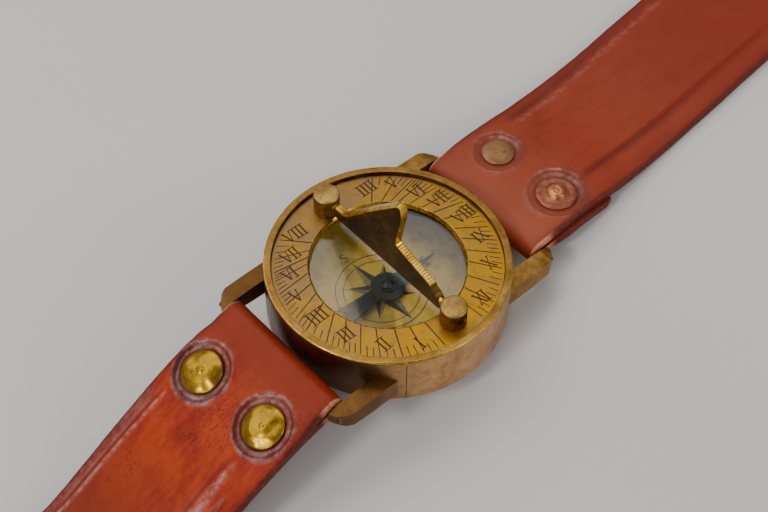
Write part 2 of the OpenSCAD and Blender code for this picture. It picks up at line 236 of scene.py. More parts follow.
M_EDGE = brass("brass_edge_polished", (lin((152, 112, 34)), lin((208, 164, 60)), lin((242, 210, 108))), rough=(0.17, 0.28), stain=lin((78, 54, 20)), stain_amount=0.24, scratch=0.15, grain=0.2, seed=25.0)
M_RIVET = brass("brass_rivet_bright", (lin((140, 98, 36)), lin((182, 138, 40)), lin((214, 171, 50))), rough=(0.2, 0.29), stain=lin((124, 86, 20)), stain_amount=0.25, scratch=0.15, grain=0.22, seed=29.0, scale=0.6)
M_DULL = brass("brass_rivet_dull", (lin((150, 106, 74)), lin((168, 130, 88)), lin((180, 150, 100))), rough=(0.42, 0.58), stain=lin((150, 84, 62)), stain_amount=0.3, scratch=0.2, grain=0.5, seed=33.0, scale=1.2)
M_CARD = brass("brass_card_lacquered", (lin((184, 146, 42)), lin((208, 170, 56)), lin((224, 190, 80))), rough=(0.34, 0.46), stain=lin((122, 90, 28)), stain_amount=0.4, scratch=0.12, grain=0.2, seed=37.0, metal=0.35)


def ink(name, a, b, rough=0.55, seed=0.0, metal=0.0):
    """Dark filling of engraved lines, worn unevenly."""
    m = Mat(name)
    f = m.noise(1.6, 4, 0.6, loc=(seed, 1, 2))
    m.set(Base_Color=m.ramp(f, [(0.35, a), (0.7, b)]), Roughness=m.range(f, 0.3, 0.7, rough, rough + 0.15), Metallic=metal)
    m.set(Normal=m.bump(m.noise(9, 3, 0.6), 0.3, 0.03))
    return m.m


M_INK = ink("engraving_brown", lin((44, 28, 10)), lin((84, 56, 22)), seed=3)
M_INK_CARD = ink("card_print_dark", lin((30, 30, 24)), lin((66, 60, 40)), seed=6)
M_INK_GREY = ink("card_print_grey", lin((112, 98, 66)), lin((150, 132, 88)), seed=8)
M_SEAL = ink("seal_dark", lin((20, 18, 16)), lin((42, 38, 32)), seed=9)
M_SPACER = brass("spacer_dark", (lin((66, 50, 26)), lin((92, 70, 36)), lin((116, 92, 50))), seed=41.0)


def steel(name, a, b, seed):
    m = Mat(name)
    f = m.noise(0.8, 4, 0.6, loc=(seed, 0, 1))
    g = m.noise(7, 3, 0.6, loc=(1, seed, 1))
    m.set(Base_Color=m.ramp(f, [(0.35, a), (0.65, b)]), Metallic=1.0, Roughness=m.range(g, 0.3, 0.7, 0.24, 0.4))
    m.set(Normal=m.bump(g, 0.25, 0.03))
    return m.m


M_BLUED = steel("steel_blued", lin((34, 44, 44)), lin((58, 70, 69)), 2)
M_PIN = steel("steel_pin", lin((96, 100, 96)), lin((140, 142, 134)), 4)

# window glass: clear, with a faint dusty bloom
M_GLASS = None
g_ = Mat("window_glass")
dust = g_.noise(0.22, 5, 0.65, loc=(4, 4, 4), dist=0.6)
specks = g_.ramp(g_.noise(3.2, 3, 0.6), [(0.66, 0.0), (0.74, 1.0)])
g_.set(Base_Color=g_.ramp(dust, [(0.3, lin((236, 240, 240))), (0.7, lin((220, 224, 226)))]), Metallic=0.0, IOR=1.52)
g_.set(Roughness=g_.math("ADD", g_.range(dust, 0.3, 0.7, 0.02, 0.05), g_.math("MULTIPLY", specks, 0.03)))
g_.set(Transmission_Weight=1.0)
g_.set(Normal=g_.bump(g_.noise(0.08, 1, 0.5), 0.03, 0.05))
M_GLASS = g_.m


def leather(name, main, light, dark, dark_marks_and_shade, edge_raw, ring, burnish_and_glint, rubbing_and_sheen, rubbing_and_sheen_amount, flecks, spread, rough, coat, seed, away):
    """Vegetable-tanned leather. Attributes from the mesh: edge (cut edge), rawedge (unburnished cut), ring (pressed),
    shaded_creases (painted shade in creases and round the rivet heads), burnish_and_glint (burnished ridges whose
    lighter colour is a painted highlight), fold (near the bar: rubbed on the buckle half, a painted sheen on the tip
    half)."""
    m = Mat(name)
    cloud = m.noise(0.055, 5, 0.6, loc=(seed, 2, 1), dist=0.5)
    blotch = m.noise(0.3, 6, 0.68, loc=(3, seed, 2), dist=0.9)
    streak = m.noise(0.5, 5, 0.65, vec=m.stretch((0.22, 1.5, 1.2), loc=(seed, seed, 0)))
    grain = m.noise(2.4, 5, 0.66, loc=(seed, 0, 7))
    f = m.math("ADD", m.math("MULTIPLY", cloud, 0.5), m.math("MULTIPLY", streak, 0.3))
    f = m.math("ADD", f, m.math("MULTIPLY", blotch, 0.2))
    col = m.ramp(f, [(0.495 - spread, dark), (0.495, main), (0.505 + spread, light)])
    col = m.mix(m.range(grain, 0.45, 0.72, 0.0, 0.3), col, dark)
    # dark flecks and short scratches in the grain
    fleck = m.ramp(m.noise(3.4, 4, 0.66, vec=m.stretch((0.3, 1.5, 1.0), rot=(0, 0, 7))), [(0.54, 0.0), (0.63, 1.0)])
    patch = m.ramp(m.noise(0.11, 3, 0.5, loc=(seed, 7, 7)), [(0.5, 0.0), (0.62, 1.0)])
    fl = m.math("MULTIPLY", fleck, m.math("ADD", m.math("MULTIPLY", patch, flecks), flecks * 0.2))
    col = m.mix(fl, col, dark_marks_and_shade)
    # pressed places are darker; shaded_creases puts a painted shade line in the creases and round the rivet heads; by
    # the bar the leather is rubbed browner on the buckle half and carries a painted sheen, lighter and pinker, on the
    # tip half
    wob = m.range(blotch, 0.3, 0.7, 0.75, 1.15)
    col = m.mix(m.math("MULTIPLY", m.attr("shaded_creases"), wob, clamp=True), col, dark_marks_and_shade)
    col = m.mix(m.math("MULTIPLY", m.attr("ring"), wob, clamp=True), col, ring)
    col = m.mix(m.math("MULTIPLY", m.attr("fold"), m.range(cloud, 0.35, 0.65, rubbing_and_sheen_amount * 0.6, rubbing_and_sheen_amount), clamp=True), col, rubbing_and_sheen)
    col = m.mix(m.attr("far"), col, away)
    # painted highlight: burnish_and_glint lightens the ridges in colour where glints fall, in soft patches; the same
    # mask also lowers roughness and raises specular
    lumps = m.range(m.noise(0.8, 2, 0.5, loc=(seed, 4, 4)), 0.4, 0.62, 0.22, 1.2)
    lipf = m.math("MULTIPLY", m.attr("burnish_and_glint"), lumps, clamp=True)
    col = m.mix(lipf, col, burnish_and_glint)
    edge = m.math("MULTIPLY", m.attr("edge"), m.range(m.noise(1.1, 5, 0.65), 0.25, 0.6, 0.55, 1.1), clamp=True)
    col = m.mix(edge, col, dark_marks_and_shade)
    raw = m.math("MULTIPLY", m.attr("rawedge"), m.range(m.noise(1.4, 5, 0.65, loc=(2, 2, 2)), 0.3, 0.6, 0.4, 1.1), clamp=True)
    col = m.mix(raw, col, edge_raw)
    r = m.range(blotch, 0.3, 0.7, rough[0], rough[1])
    r = m.math("ADD", r, m.math("MULTIPLY", m.attr("edge"), 0.12))
    r = m.math("SUBTRACT", r, m.math("MULTIPLY", m.attr("ring"), 0.1))
    r = m.math("MAXIMUM", m.math("SUBTRACT", r, m.math("MULTIPLY", lipf, 0.22)), 0.16)
    m.set(Base_Color=col, Metallic=0.0, Roughness=r, IOR=1.45, Coat_IOR=1.4)
    m.set(Specular_IOR_Level=m.math("ADD", 0.22, m.math("MULTIPLY", lipf, 0.6)), Coat_Weight=m.math("ADD", coat, m.math("MULTIPLY", m.attr("ring"), 0.3), clamp=True))
    m.set(Coat_Roughness=m.range(grain, 0.3, 0.7, 0.16, 0.34))
    pores = m.voronoi(3.1, vec=m.stretch((1, 1.25, 1)))
    pores2 = m.ramp(pores, [(0.0, 0.0), (0.3, 1.0)])
    h = m.math("ADD", m.math("MULTIPLY", pores2, 0.3), m.math("MULTIPLY", grain, 0.9))
    h = m.math("ADD", h, m.math("MULTIPLY", blotch, 1.4))
    h = m.math("SUBTRACT", h, m.math("MULTIPLY", fl, 0.7))
    fibre = m.math("MULTIPLY", m.noise(2.2, 5, 0.75, vec=m.stretch((0.5, 1, 4))), m.math("MULTIPLY", m.attr("edge"), 2.5))
    h = m.math("ADD", h, fibre)
    n = m.bump(h, 0.32, 0.12)
    m.set(Normal=n)
    return m.m


# arguments after the name: main, light, dark, dark_marks_and_shade (cut edges and flecks, and the painted shade in
# creases), edge_raw, ring, burnish_and_glint (a painted highlight colour on the ridges), rubbing_and_sheen (browner
# rubbed leather on the buckle half, a painted sheen on the tip half), rubbing_and_sheen_amount, flecks, spread, rough,
# coat, seed, away
M_LEATHER_B = leather("leather_buckle_half", lin((162, 42, 6)), lin((186, 62, 10)), lin((130, 28, 8)), lin((70, 14, 8)), lin((216, 140, 104)), lin((78, 26, 28)), lin((188, 128, 118)), lin((138, 46, 18)), 0.85, 0.9, 0.075, (0.34, 0.48), 0.09, 3.0, lin((136, 47, 24)))
M_LEATHER_T = leather("leather_tip_half", lin((149, 54, 27)), lin((158, 62, 34)), lin((132, 42, 19)), lin((90, 24, 18)), lin((226, 150, 104)), lin((90, 31, 32)), lin((196, 124, 106)), lin((168, 82, 54)), 0.8, 0.3, 0.12, (0.4, 0.5), 0.06, 11.0, lin((136, 38, 13)))


# ------------------------------------------------------------------ mesh helpers
def new_object(name, verts, faces, mats, idx=None, angle=38, M=None, unit=MM):
    me = bpy.data.meshes.new(name)
    co = [Vector(v) for v in verts]
    if M is not None:
        co = [M @ v for v in co]
    me.from_pydata([tuple(v * unit) for v in co], [], faces)
    for m in mats:
        me.materials.append(m)
    if idx is not None:
        me.polygons.foreach_set("material_index", idx)
    bm = bmesh.new()
    bm.from_mesh(me)
    bmesh.ops.recalc_face_normals(bm, faces=bm.faces)
    bm.to_mesh(me)
    bm.free()
    me.shade_smooth()
    me.set_sharp_from_angle(angle=math.radians(angle))
    ob = bpy.data.objects.new(name, me)
    bpy.context.scene.collection.objects.link(ob)
    return ob


def apply_mods(ob, angle=38):
    bpy.context.view_layer.update()
    dg = bpy.context.evaluated_depsgraph_get()
    me = bpy.data.meshes.new_from_object(ob.evaluated_get(dg))
    ob.modifiers.clear()
    ob.data = me
    me.shade_smooth()
    me.set_sharp_from_angle(angle=math.radians(angle))
    return ob


def boolean(ob, cutter, op="DIFFERENCE", self_=False, angle=38):
    m = ob.modifiers.new("cut", "BOOLEAN")
    m.operation, m.object, m.solver, m.use_self, m.material_mode = op, cutter, "EXACT", self_, "TRANSFER"
    apply_mods(ob, angle)
    bpy.data.objects.remove(cutter)
    return ob


def bevel(ob, width, seg=3, limit=32, angle=38):
    m = ob.modifiers.new("bevel", "BEVEL")
    m.width, m.segments, m.limit_method, m.angle_limit = width * MM, seg, "ANGLE", math.radians(limit)
    m.miter_outer = "MITER_ARC"
    m.use_clamp_overlap = True
    m.harden_normals = False
    return apply_mods(ob, angle)


def weld(ob, dist=0.0004):
    bm = bmesh.new()
    bm.from_mesh(ob.data)
    bmesh.ops.remove_doubles(bm, verts=bm.verts, dist=dist * MM)
    bm.to_mesh(ob.data)
    bm.free()
    return ob


def settle(ob):
    """Normals weighted by face area, so that wide flat faces stay flat next to their rounded edges."""
    m = ob.modifiers.new("normals", "WEIGHTED_NORMAL")
    m.mode, m.weight, m.keep_sharp = "FACE_AREA", 50, True
    bpy.context.view_layer.update()
    dg = bpy.context.evaluated_depsgraph_get()
    me = bpy.data.meshes.new_from_object(ob.evaluated_get(dg))
    ob.modifiers.clear()
    ob.data = me


def done(ob, body, slot, *nodes):
    if slot != "leather":
        settle(ob)
    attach(ob, body)
    if nodes:
        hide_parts(*nodes)
    return ob


def arc(cx, cy, r, a0, a1, n):
    return [(cx + r * math.cos(math.radians(a0 + (a1 - a0) * k / n)), cy + r * math.sin(math.radians(a0 + (a1 - a0) * k / n))) for k in range(n + 1)]


def rounded(pts, radii, n=4, closed=True):
    """Polygon with its corners rounded; radii is one number or one per corner."""
    out, m = [], len(pts)
    for i, p in enumerate(pts):
        r = radii if isinstance(radii, (int, float)) else radii[i]
        if r <= 0 or (not closed and i in (0, m - 1)):
            out.append(tuple(p))
            continue
        p, a, b = Vector(p), Vector(pts[i - 1]), Vector(pts[(i + 1) % m])
        u, v = (a - p), (b - p)
        lu, lv = u.length, v.length
        u.normalize(), v.normalize()
        ang = math.acos(max(-1, min(1, u.dot(v))))
        if ang > math.radians(176):
            out.append(tuple(p))
            continue
        t = min(r / math.tan(ang / 2), lu * 0.48, lv * 0.48)
        r = t * math.tan(ang / 2)
        c = p + (u + v).normalized() * (r / math.sin(ang / 2))
        s, e = p + u * t, p + v * t
        a0 = math.atan2(s.y - c.y, s.x - c.x)
        a1 = math.atan2(e.y - c.y, e.x - c.x)
        d = (a1 - a0 + math.pi) % (2 * math.pi) - math.pi
        for k in range(n + 1):
            w = a0 + d * k / n
            out.append((c.x + r * math.cos(w), c.y + r * math.sin(w)))
    return out


def lathe(name, prof, mats, seg=128, M=CASE, centre=(0, 0), pick=None, angle=38):
    """Turned solid from a closed profile of (r, z). Points with r = 0 are on the axis."""
    verts, rows, faces, idx = [], [], [], []
    for r, z in prof:
        if r < 1e-6:
            verts.append((centre[0], centre[1], z))
            rows.append([len(verts) - 1] * seg)
        else:
            row = []
            for k in range(seg):
                a = 2 * math.pi * k / seg
                verts.append((centre[0] + r * math.cos(a), centre[1] + r * math.sin(a), z))
                row.append(len(verts) - 1)
            rows.append(row)
    n = len(prof)
    for i in range(n):
        j = (i + 1) % n
        if prof[i][0] < 1e-6 and prof[j][0] < 1e-6:
            continue
        for k in range(seg):
            q = [rows[i][k], rows[i][(k + 1) % seg], rows[j][(k + 1) % seg], rows[j][k]]
            f = []
            for v in q:
                if v not in f:
                    f.append(v)
            faces.append(f)
            idx.append(pick(prof[i], prof[j]) if pick else 0)
    return new_object(name, verts, faces, mats, idx, angle, M)


def prism(name, poly, z0, z1, mats, M=CASE, idx=0):
    """Straight solid over a polygon of (x, y)."""
    n = len(poly)
    verts = [(x, y, z0) for x, y in poly] + [(x, y, z1) for x, y in poly]
    faces = [list(range(n))[::-1], list(range(n, 2 * n))] + [[i, (i + 1) % n, n + (i + 1) % n, n + i] for i in range(n)]
    return new_object(name, verts, faces, mats, [idx] * len(faces), 38, M)


def many_prisms(name, polys, mats, M=CASE):
    """One mesh of many small solids: each entry is (polygon, z0, z1)."""
    verts, faces = [], []
    for poly, z0, z1 in polys:
        area = sum(poly[i][0] * poly[(i + 1) % len(poly)][1] - poly[(i + 1) % len(poly)][0] * poly[i][1] for i in range(len(poly)))
        if area < 0:
            poly = poly[::-1]
        o, n = len(verts), len(poly)
        verts += [(x, y, z0) for x, y in poly] + [(x, y, z1) for x, y in poly]
        faces += [[o + i for i in range(n)][::-1], [o + n + i for i in range(n)]]
        faces += [[o + i, o + (i + 1) % n, o + n + (i + 1) % n, o + n + i] for i in range(n)]
    return new_object(name, verts, faces, mats, [0] * len(faces), 38, M)


def tube(name, r, p0, p1, mats, seg=64, M=CASE):
    """Plain round bar between two points, for cutting."""
    p0, p1 = Vector(p0), Vector(p1)
    q = (p1 - p0).to_track_quat("Z", "Y").to_matrix().to_4x4()
    L = (p1 - p0).length
    return lathe(name, [(0, 0), (r, 0), (r, L), (0, L)], mats, seg, M @ Matrix.Translation(p0) @ q)


def smooth_line(pts, n):
    out = []
    for i in range(len(pts) - 1):
        a, b, c, d = (Vector(pts[max(i - 1, 0)]), Vector(pts[i]), Vector(pts[i + 1]), Vector(pts[min(i + 2, len(pts) - 1)]))
        for k in range(n):
            t = k / n
            out.append(0.5 * (2 * b + (c - a) * t + (2 * a - 5 * b + 4 * c - d) * t * t + (3 * b - 3 * c + d - a) * t ** 3))
    out.append(Vector(pts[-1]))
    return out


def sstep(a, b, x):
    t = max(0.0, min(1.0, (x - a) / (b - a)))
    return t * t * (3 - 2 * t)


def bumpf(x, c, w):
    return math.exp(-((x - c) / w) ** 2)


# ------------------------------------------------------------------ case
RI, RO, H = 21.55, 23.0, 11.6
wall_prof = rounded([(RI, 0.0), (RO - 0.3, 0.0), (RO, 0.4), (RO + 0.02, 10.55), (RO - 0.02, 10.85), (RO, 11.1), (RO, H), (RI + 0.05, H), (RI, H - 0.25)],
                    [0.1, 0.15, 0.25, 0.06, 0.06, 0.06, 0.32, 0.2, 0.1], 4)
# the outer top rounding of the rim takes the polished edge brass: worn bright, its lighter colour also a painted
# highlight line along the rim
ring = lathe("case_ring_turned", wall_prof, [M_CASE, M_RIM, M_DARK, M_EDGE], 256,
             pick=lambda a, b: 2 if max(a[0], b[0]) < RI + 0.12 else (0 if min(a[1], b[1]) <= 11.05 else (3 if min(a[0], b[0]) > RO - 0.33 and min(a[1], b[1]) > H - 0.33 else 1)))
# the soldered seam of the wall and a shallow tool mark beside it
for ang, w, dep in ((56.5, 0.16, 0.07), (236.0, 0.1, 0.04)):
    c, s = math.cos(math.radians(ang)), math.sin(math.radians(ang))
    seam = prism("seam", [(x * c - y * s, x * s + y * c) for x, y in ((RO - dep, -w / 2), (RO + 1, -w / 2), (RO + 1, w / 2), (RO - dep, w / 2))], -1, 10.6, [M_DARK])
    boolean(ring, seam)
done(ring, "case", "brass_case", "case_ring")

# lugs, filed by hand
def lug(name, side, n, zc, node):
    plan = [(11, 14.9), (11, 18.3), (24.2, 18.3), (25.5, 17.7), (26.8, 16.3), (27.5, 14.9)]
    verts_side = rounded([(10, -2.15), (20, -2.0), (25.5, -1.55), (27.5, -0.95), (27.5, 0.95), (25, 1.8), (20, 2.0), (10, 2.05)], [0, 1.0, 0.6, 0.5, 0.5, 0.8, 1.0, 0], 4)
    a = prism(name, [(side * x, n * y) for x, y in plan], zc - 4, zc + 4, [M_LUG])
    rot = CASE @ Matrix.Translation((0, 25 * n, 0)) @ Matrix.Rotation(math.radians(90), 4, "X")
    b = prism("lug_side", [(side * x, zc + z) for x, z in verts_side], -20, 20, [M_LUG], rot)
    boolean(a, b, "INTERSECT")
    boolean(a, lathe("lug_bore", [(0, -1), (RO - 0.05, -1), (RO - 0.05, 13), (0, 13)], [M_LUG], 192))
    bevel(a, 0.13, 3)
    return done(a, "case", "brass_case", node)


lug("lug_filed_buckle_north", 1, 1, 4.2, "lug_buckle_north")
lug("lug_filed_buckle_south", 1, -1, 4.2, "lug_buckle_south")
lug("lug_filed_tip_north", -1, 1, 5.9, "lug_tip_north")
lug("lug_filed_tip_south", -1, -1, 5.9, "lug_tip_south")

# ------------------------------------------------------------------ hour plate
PT = 10.7   # its top face
plate = lathe("hour_plate_engraved", rounded([(14.5, 9.75), (RI - 0.02, 9.7), (RI - 0.02, PT), (14.86, PT), (14.5, PT - 0.36)], [0.05, 0, 0.04, 0.12, 0.1], 3),
              [M_DIAL, M_INK, M_EDGE], 256, pick=lambda a, b: 2 if max(a[0], b[0]) < 14.95 else 0)


def quad(x0, y0, x1, y1, w0, w1=None):
    """Stroke polygon whose width may change from one end to the other."""
    w1 = w0 if w1 is None else w1
    d = Vector((x1 - x0, y1 - y0))
    d.normalize()
    nx, ny = -d.y, d.x
    return [(x0 + nx * w0 / 2, y0 + ny * w0 / 2), (x0 - nx * w0 / 2, y0 - ny * w0 / 2), (x1 - nx * w1 / 2, y1 - ny * w1 / 2), (x1 + nx * w1 / 2, y1 + ny * w1 / 2)]


THICK, THIN, SER = 0.33, 0.2, 0.16


def glyph_strokes(ch):
    """Strokes of one numeral letter in its own box, height 1: (x0, y0, x1, y1, width, kind), and its width."""
    if ch == "I":
        return [(0.17, 0, 0.17, 1, THICK, 1), (-0.02, 0.0, 0.36, 0.0, SER, 2), (-0.02, 1.0, 0.36, 1.0, SER, 3)], 0.33
    if ch == "V":
        return [(0.06, 1, 0.34, 0.0, THICK, 1), (0.6, 1, 0.36, 0.0, THIN, 4), (-0.04, 1, 0.2, 1, SER, 3), (0.5, 1, 0.7, 1, SER, 2)], 0.66
    return [(0.08, 1, 0.58, 0.0, THICK, 1), (0.58, 1, 0.08, 0.0, THIN, 4), (-0.02, 1, 0.2, 1, SER, 3), (0.47, 1, 0.69, 1, SER, 3),
            (-0.02, 0, 0.2, 0, SER, 2), (0.47, 0, 0.69, 0, SER, 2)], 0.66


DEPTH = {1: 0.14, 2: 0.11, 3: 0.105, 4: 0.12}


def numeral(text, cx, cy, hgt=2.75, turn=0.0):
    polys, pen = [], 0.0
    total = sum(glyph_strokes(c)[1] for c in text) + 0.02 * (len(text) - 1)
    for c in text:
        st, w = glyph_strokes(c)
        for x0, y0, x1, y1, wd, kind in st:
            pts = quad((pen + x0 - total / 2) * hgt, (y0 - 0.5) * hgt, (pen + x1 - total / 2) * hgt, (y1 - 0.5) * hgt, wd)
            out = []
            for px, py in pts:
                ca, sa = math.cos(turn), math.sin(turn)
                qx, qy = px * ca - py * sa, px * sa + py * ca
                # reads with its top towards the south post
                out.append((cx - qx, cy - qy))
            polys.append((out, PT - DEPTH[kind] - random.uniform(0, 0.012), PT + 0.3))
        pen += w + 0.02
    return polys


numerals = [("IIII", -9, -16.3), ("V", -13.5, -14), ("VI", -15.7, -9.5), ("VII", -17.5, -5.2), ("VIII", -18.6, 0.6), ("IX", -17.2, 6.5), ("X", -14, 12.2), ("XI", -7.5, 17),
            ("I", 7.7, 17), ("II", 12.7, 13), ("III", 16.3, 7), ("IIII", 17.6, 0.6), ("V", 17.5, -5.3), ("VI", 15.2, -10), ("VII", 12.3, -13.3), ("VIII", 8.4, -16.7)]
cut = []
for text, x, y in numerals:
    hgt = 2.7 + random.uniform(-0.1, 0.1)
    cut += numeral(text, x, y, hgt, random.uniform(-0.05, 0.05))
rays = [((4, 14), (4.7, 20.7)), ((6.7, 13.3), (8.6, 19.8)), ((9, 11.7), (12.1, 17.6)), ((11.3, 9.3), (15, 14.8)), ((12.8, 7), (17.2, 12)), ((13.6, 4), (19, 9.5)),
        ((14, 1.4), (20, 6)), ((14.1, -1.3), (20.2, 1.3)), ((13.9, -3.6), (20.4, -1.7)), ((13.2, -5.8), (20.4, -5)), ((11.9, -8), (20.2, -7.6)), ((10.6, -9.6), (19, -10.5)),
        ((9.7, -10.7), (18.2, -12.3)), ((8.5, -11.7), (16.5, -15)), ((7.2, -12.7), (12.5, -18.5))]


def clip_ray(a, b, r0, r1):
    """The part of a ray between two radii."""
    a, b = Vector(a), Vector(b)
    d = (b - a).normalized()
    p = a - a.dot(d) * d
    h2 = p.length_squared
    return p + d * math.sqrt(max(r0 * r0 - h2, 0)), p + d * math.sqrt(r1 * r1 - h2)


for mir in (1, -1):
    ends = []
    for a, b in rays:
        p, q = clip_ray(a, b, 14.95, 20.95 + random.uniform(-0.25, 0.1))
        ends.append((a, b))
        w = 0.23 + random.uniform(-0.03, 0.04)
        cut.append((quad(mir * p.x, p.y, mir * q.x, q.y, w, w * 0.85), PT - 0.085 - random.uniform(0, 0.01), PT + 0.3))
    # short quarter ticks at the rim between neighbouring rays
    for i in range(len(ends) - 1):
        (a0, b0), (a1, b1) = ends[i], ends[i + 1]
        for t in (1 / 3, 2 / 3):
            a = Vector(a0).lerp(Vector(a1), t)
            b = Vector(b0).lerp(Vector(b1), t)
            p, q = clip_ray(a, b, 19.0 + random.uniform(-0.2, 0.3), 21.0 + random.uniform(-0.2, 0.1))
            cut.append((quad(mir * p.x, p.y, mir * q.x, q.y, 0.2, 0.16), PT - 0.07 - random.uniform(0, 0.01), PT + 0.3))
boolean(plate, many_prisms("engraving_cutter", cut, [M_INK]), self_=True, angle=30)
for s in (1, -1):
    boolean(plate, tube("post_hole", 1.22, (0, s * 17.4, 8), (0, s * 17.4, 13), [M_DARK], 48))
done(plate, "case", "brass_dial", "hour_plate")

# ------------------------------------------------------------------ window glass
pane = lathe("window_glass_disc", rounded([(0, 8.955), (RI - 0.11, 8.955), (RI - 0.11, 9.695), (0, 9.695)], [0, 0.1, 0.1, 0], 2), [M_GLASS], 160)
pane.visible_shadow = False
done(pane, "case", "glass", "glass")

# ------------------------------------------------------------------ posts
def post(name, s, node):
    prof = rounded([(0, 9.7), (1.2, 9.7), (1.2, PT + 0.01), (2.5, PT + 0.01), (2.5, 15.2), (0, 15.26)], [0, 0.1, 0, 0.1, 0.42, 0], 5)
    o = lathe(name, prof, [M_POST, M_DARK, M_TOP], 96, centre=(0, s * 17.4), pick=lambda a, b: 2 if min(a[1], b[1]) > 14.9 else 0)
    inner, outer = (s * 10, s * 25)
    boolean(o, tube("post_cross", 0.83, (0, inner, 13.4), (0, outer, 13.4), [M_DARK], 40))
    boolean(o, tube("post_sink", 1.2, (0, s * 19.05, 13.4), (0, outer, 13.4), [M_DARK], 40))
    bevel(o, 0.07, 2, 40)
    return done(o, "case", "brass_case", node)


post("post_turned_north", 1, "post_north")
post("post_turned_south", -1, "post_south")

# ------------------------------------------------------------------ gnomon
GT = 1.6
base = [(-14.5, 11.95), (14.4, 11.95), (14.5, 12.6), (14.3, 13.6), (13.8, 14.3), (13.2, 15.0), (12.35, 15.3), (11.9, 16.1)]
wall_top = []
steps = 16
for k in range(steps):
    y0 = 11.75 - k * 0.545
    z0 = 16.3 + k * (18.85 - 16.3) / steps
    wall_top += [(y0, z0 + 0.07), (y0 - 0.1, z0 + 0.23), (y0 - 0.27, z0 + 0.3), (y0 - 0.43, z0 + 0.22)]
back = [(2.75, 19.25), (2.7, 19.9), (2.9, 21.4), (3.3, 23.5), (3.75, 26.0), (3.95, 28.0), (3.8, 29.3), (3.4, 29.95), (2.8, 30.1), (2.1, 29.8)]
style = [(-4.4, 23.0), (-9.7, 17.0), (-11.5, 14.95), (-12.2, 14.6), (-14.0, 14.6), (-14.5, 14.1)]
outline = base + wall_top + back + style
n = len(outline)
gm = CASE
# the sloping shadow edge is filed to a wide chamfer on both faces
filed = [0.0] * (n - 8) + [0.3, 0.5, 0.6, 0.7, 0.62, 0.35, 0.15, 0.0]
inner_line = []
for i, (pt, d) in enumerate(zip(outline, filed)):
    e1 = Vector((pt[0] - outline[i - 1][0], pt[1] - outline[i - 1][1])).normalized()
    e2 = Vector((outline[(i + 1) % n][0] - pt[0], outline[(i + 1) % n][1] - pt[1])).normalized()
    nrm = Vector((-e1.y - e2.y, e1.x + e2.x)).normalized()
    inner_line.append((pt[0] + nrm.x * d, pt[1] + nrm.y * d))
gv = [(x, y, z) for x, line_ in ((-GT / 2, inner_line), (0.3 - GT / 2, outline), (GT / 2 - 0.3, outline), (GT / 2, inner_line)) for y, z in line_]
gf = [list(range(n)), list(range(3 * n, 4 * n))[::-1]] + [[k * n + i, k * n + (i + 1) % n, (k + 1) * n + (i + 1) % n, (k + 1) * n + i] for k in range(3) for i in range(n)]
gi = [0, 0] + [1 if i >= len(base) - 1 and i < n - 2 else 0 for k in range(3) for i in range(n)]
gnomon = new_object("gnomon_filed", gv, gf, [M_DARK, M_EDGE, M_INK], gi, 30, gm)
bevel(gnomon, 0.12, 2, 28, 30)
# stubs, joined to the plate
for s in (1, -1):
    boolean(gnomon, tube("stub", 0.75, (0, s * 13.6, 13.4), (0, s * 18.8, 13.4), [M_EDGE], 40), "UNION")


# engraved scroll on both faces: hand-drawn spiral strokes
def spiral(cy, cz, r0, r1, a0, a1, w, k=22):
    out = []
    for i in range(k):
        t0, t1 = i / k, (i + 1.25) / k
        p = [(cy + (r0 + (r1 - r0) * t) * math.cos(math.radians(a0 + (a1 - a0) * t)), cz + (r0 + (r1 - r0) * t) * math.sin(math.radians(a0 + (a1 - a0) * t))) for t in (t0, t1)]
        out.append(quad(p[0][0], p[0][1], p[1][0], p[1][1], w * (1 - 0.5 * t0), w * (1 - 0.5 * t1)))
    return out


scrolls = spiral(-1.6, 20.0, 2.2, 0.5, 200, -180, 0.26) + spiral(0.6, 23.4, 1.5, 0.4, 60, 400, 0.22) + spiral(-6.2, 16.6, 1.5, 0.4, 180, -170, 0.22) \
    + spiral(3.6, 15.4, 1.5, 0.4, 150, -200, 0.22) + spiral(8.3, 14.3, 1.0, 0.3, 160, -190, 0.2)
for s in (1, -1):
    R = CASE @ Matrix(((0, 0, s, 0), (1, 0, 0, 0), (0, 1, 0, 0), (0, 0, 0, 1)))
    polys = [(p, GT / 2 - 0.09 - 0.004 * (i % 3), GT / 2 + 0.3) for i, p in enumerate(scrolls)]
    boolean(gnomon, many_prisms("scroll_cutter", polys, [M_INK], R), self_=True, angle=30)
done(gnomon, "gnomon", "brass_dark", "gnomon")

# ------------------------------------------------------------------ card, print, needle
CT = 2.0
card = lathe("compass_card_turned", rounded([(0, 1.2), (21.45, 1.2), (21.45, CT), (0, CT)], [0, 0.05, 0.1, 0], 3), [M_CARD], 128)
done(card, "case", "brass_card", "compass_card")
RX, RY = 0.9, -0.6
polys_dark, polys_grey = [], []


def circle_print(r, w, k=96):
    out = []
    for i in range(k):
        a0, a1 = 2 * math.pi * i / k, 2 * math.pi * (i + 1) / k
        out.append([(RX + (r - w / 2) * math.cos(a0), RY + (r - w / 2) * math.sin(a0)), (RX + (r + w / 2) * math.cos(a0), RY + (r + w / 2) * math.sin(a0)),
                    (RX + (r + w / 2) * math.cos(a1), RY + (r + w / 2) * math.sin(a1)), (RX + (r - w / 2) * math.cos(a1), RY + (r - w / 2) * math.sin(a1))])
    return out


def ring_print(name, r, w, z0, z1, mat):
    return lathe(name, [(r - w / 2, z0), (r + w / 2, z0), (r + w / 2, z1), (r - w / 2, z1)], [mat], 128, centre=(RX, RY))


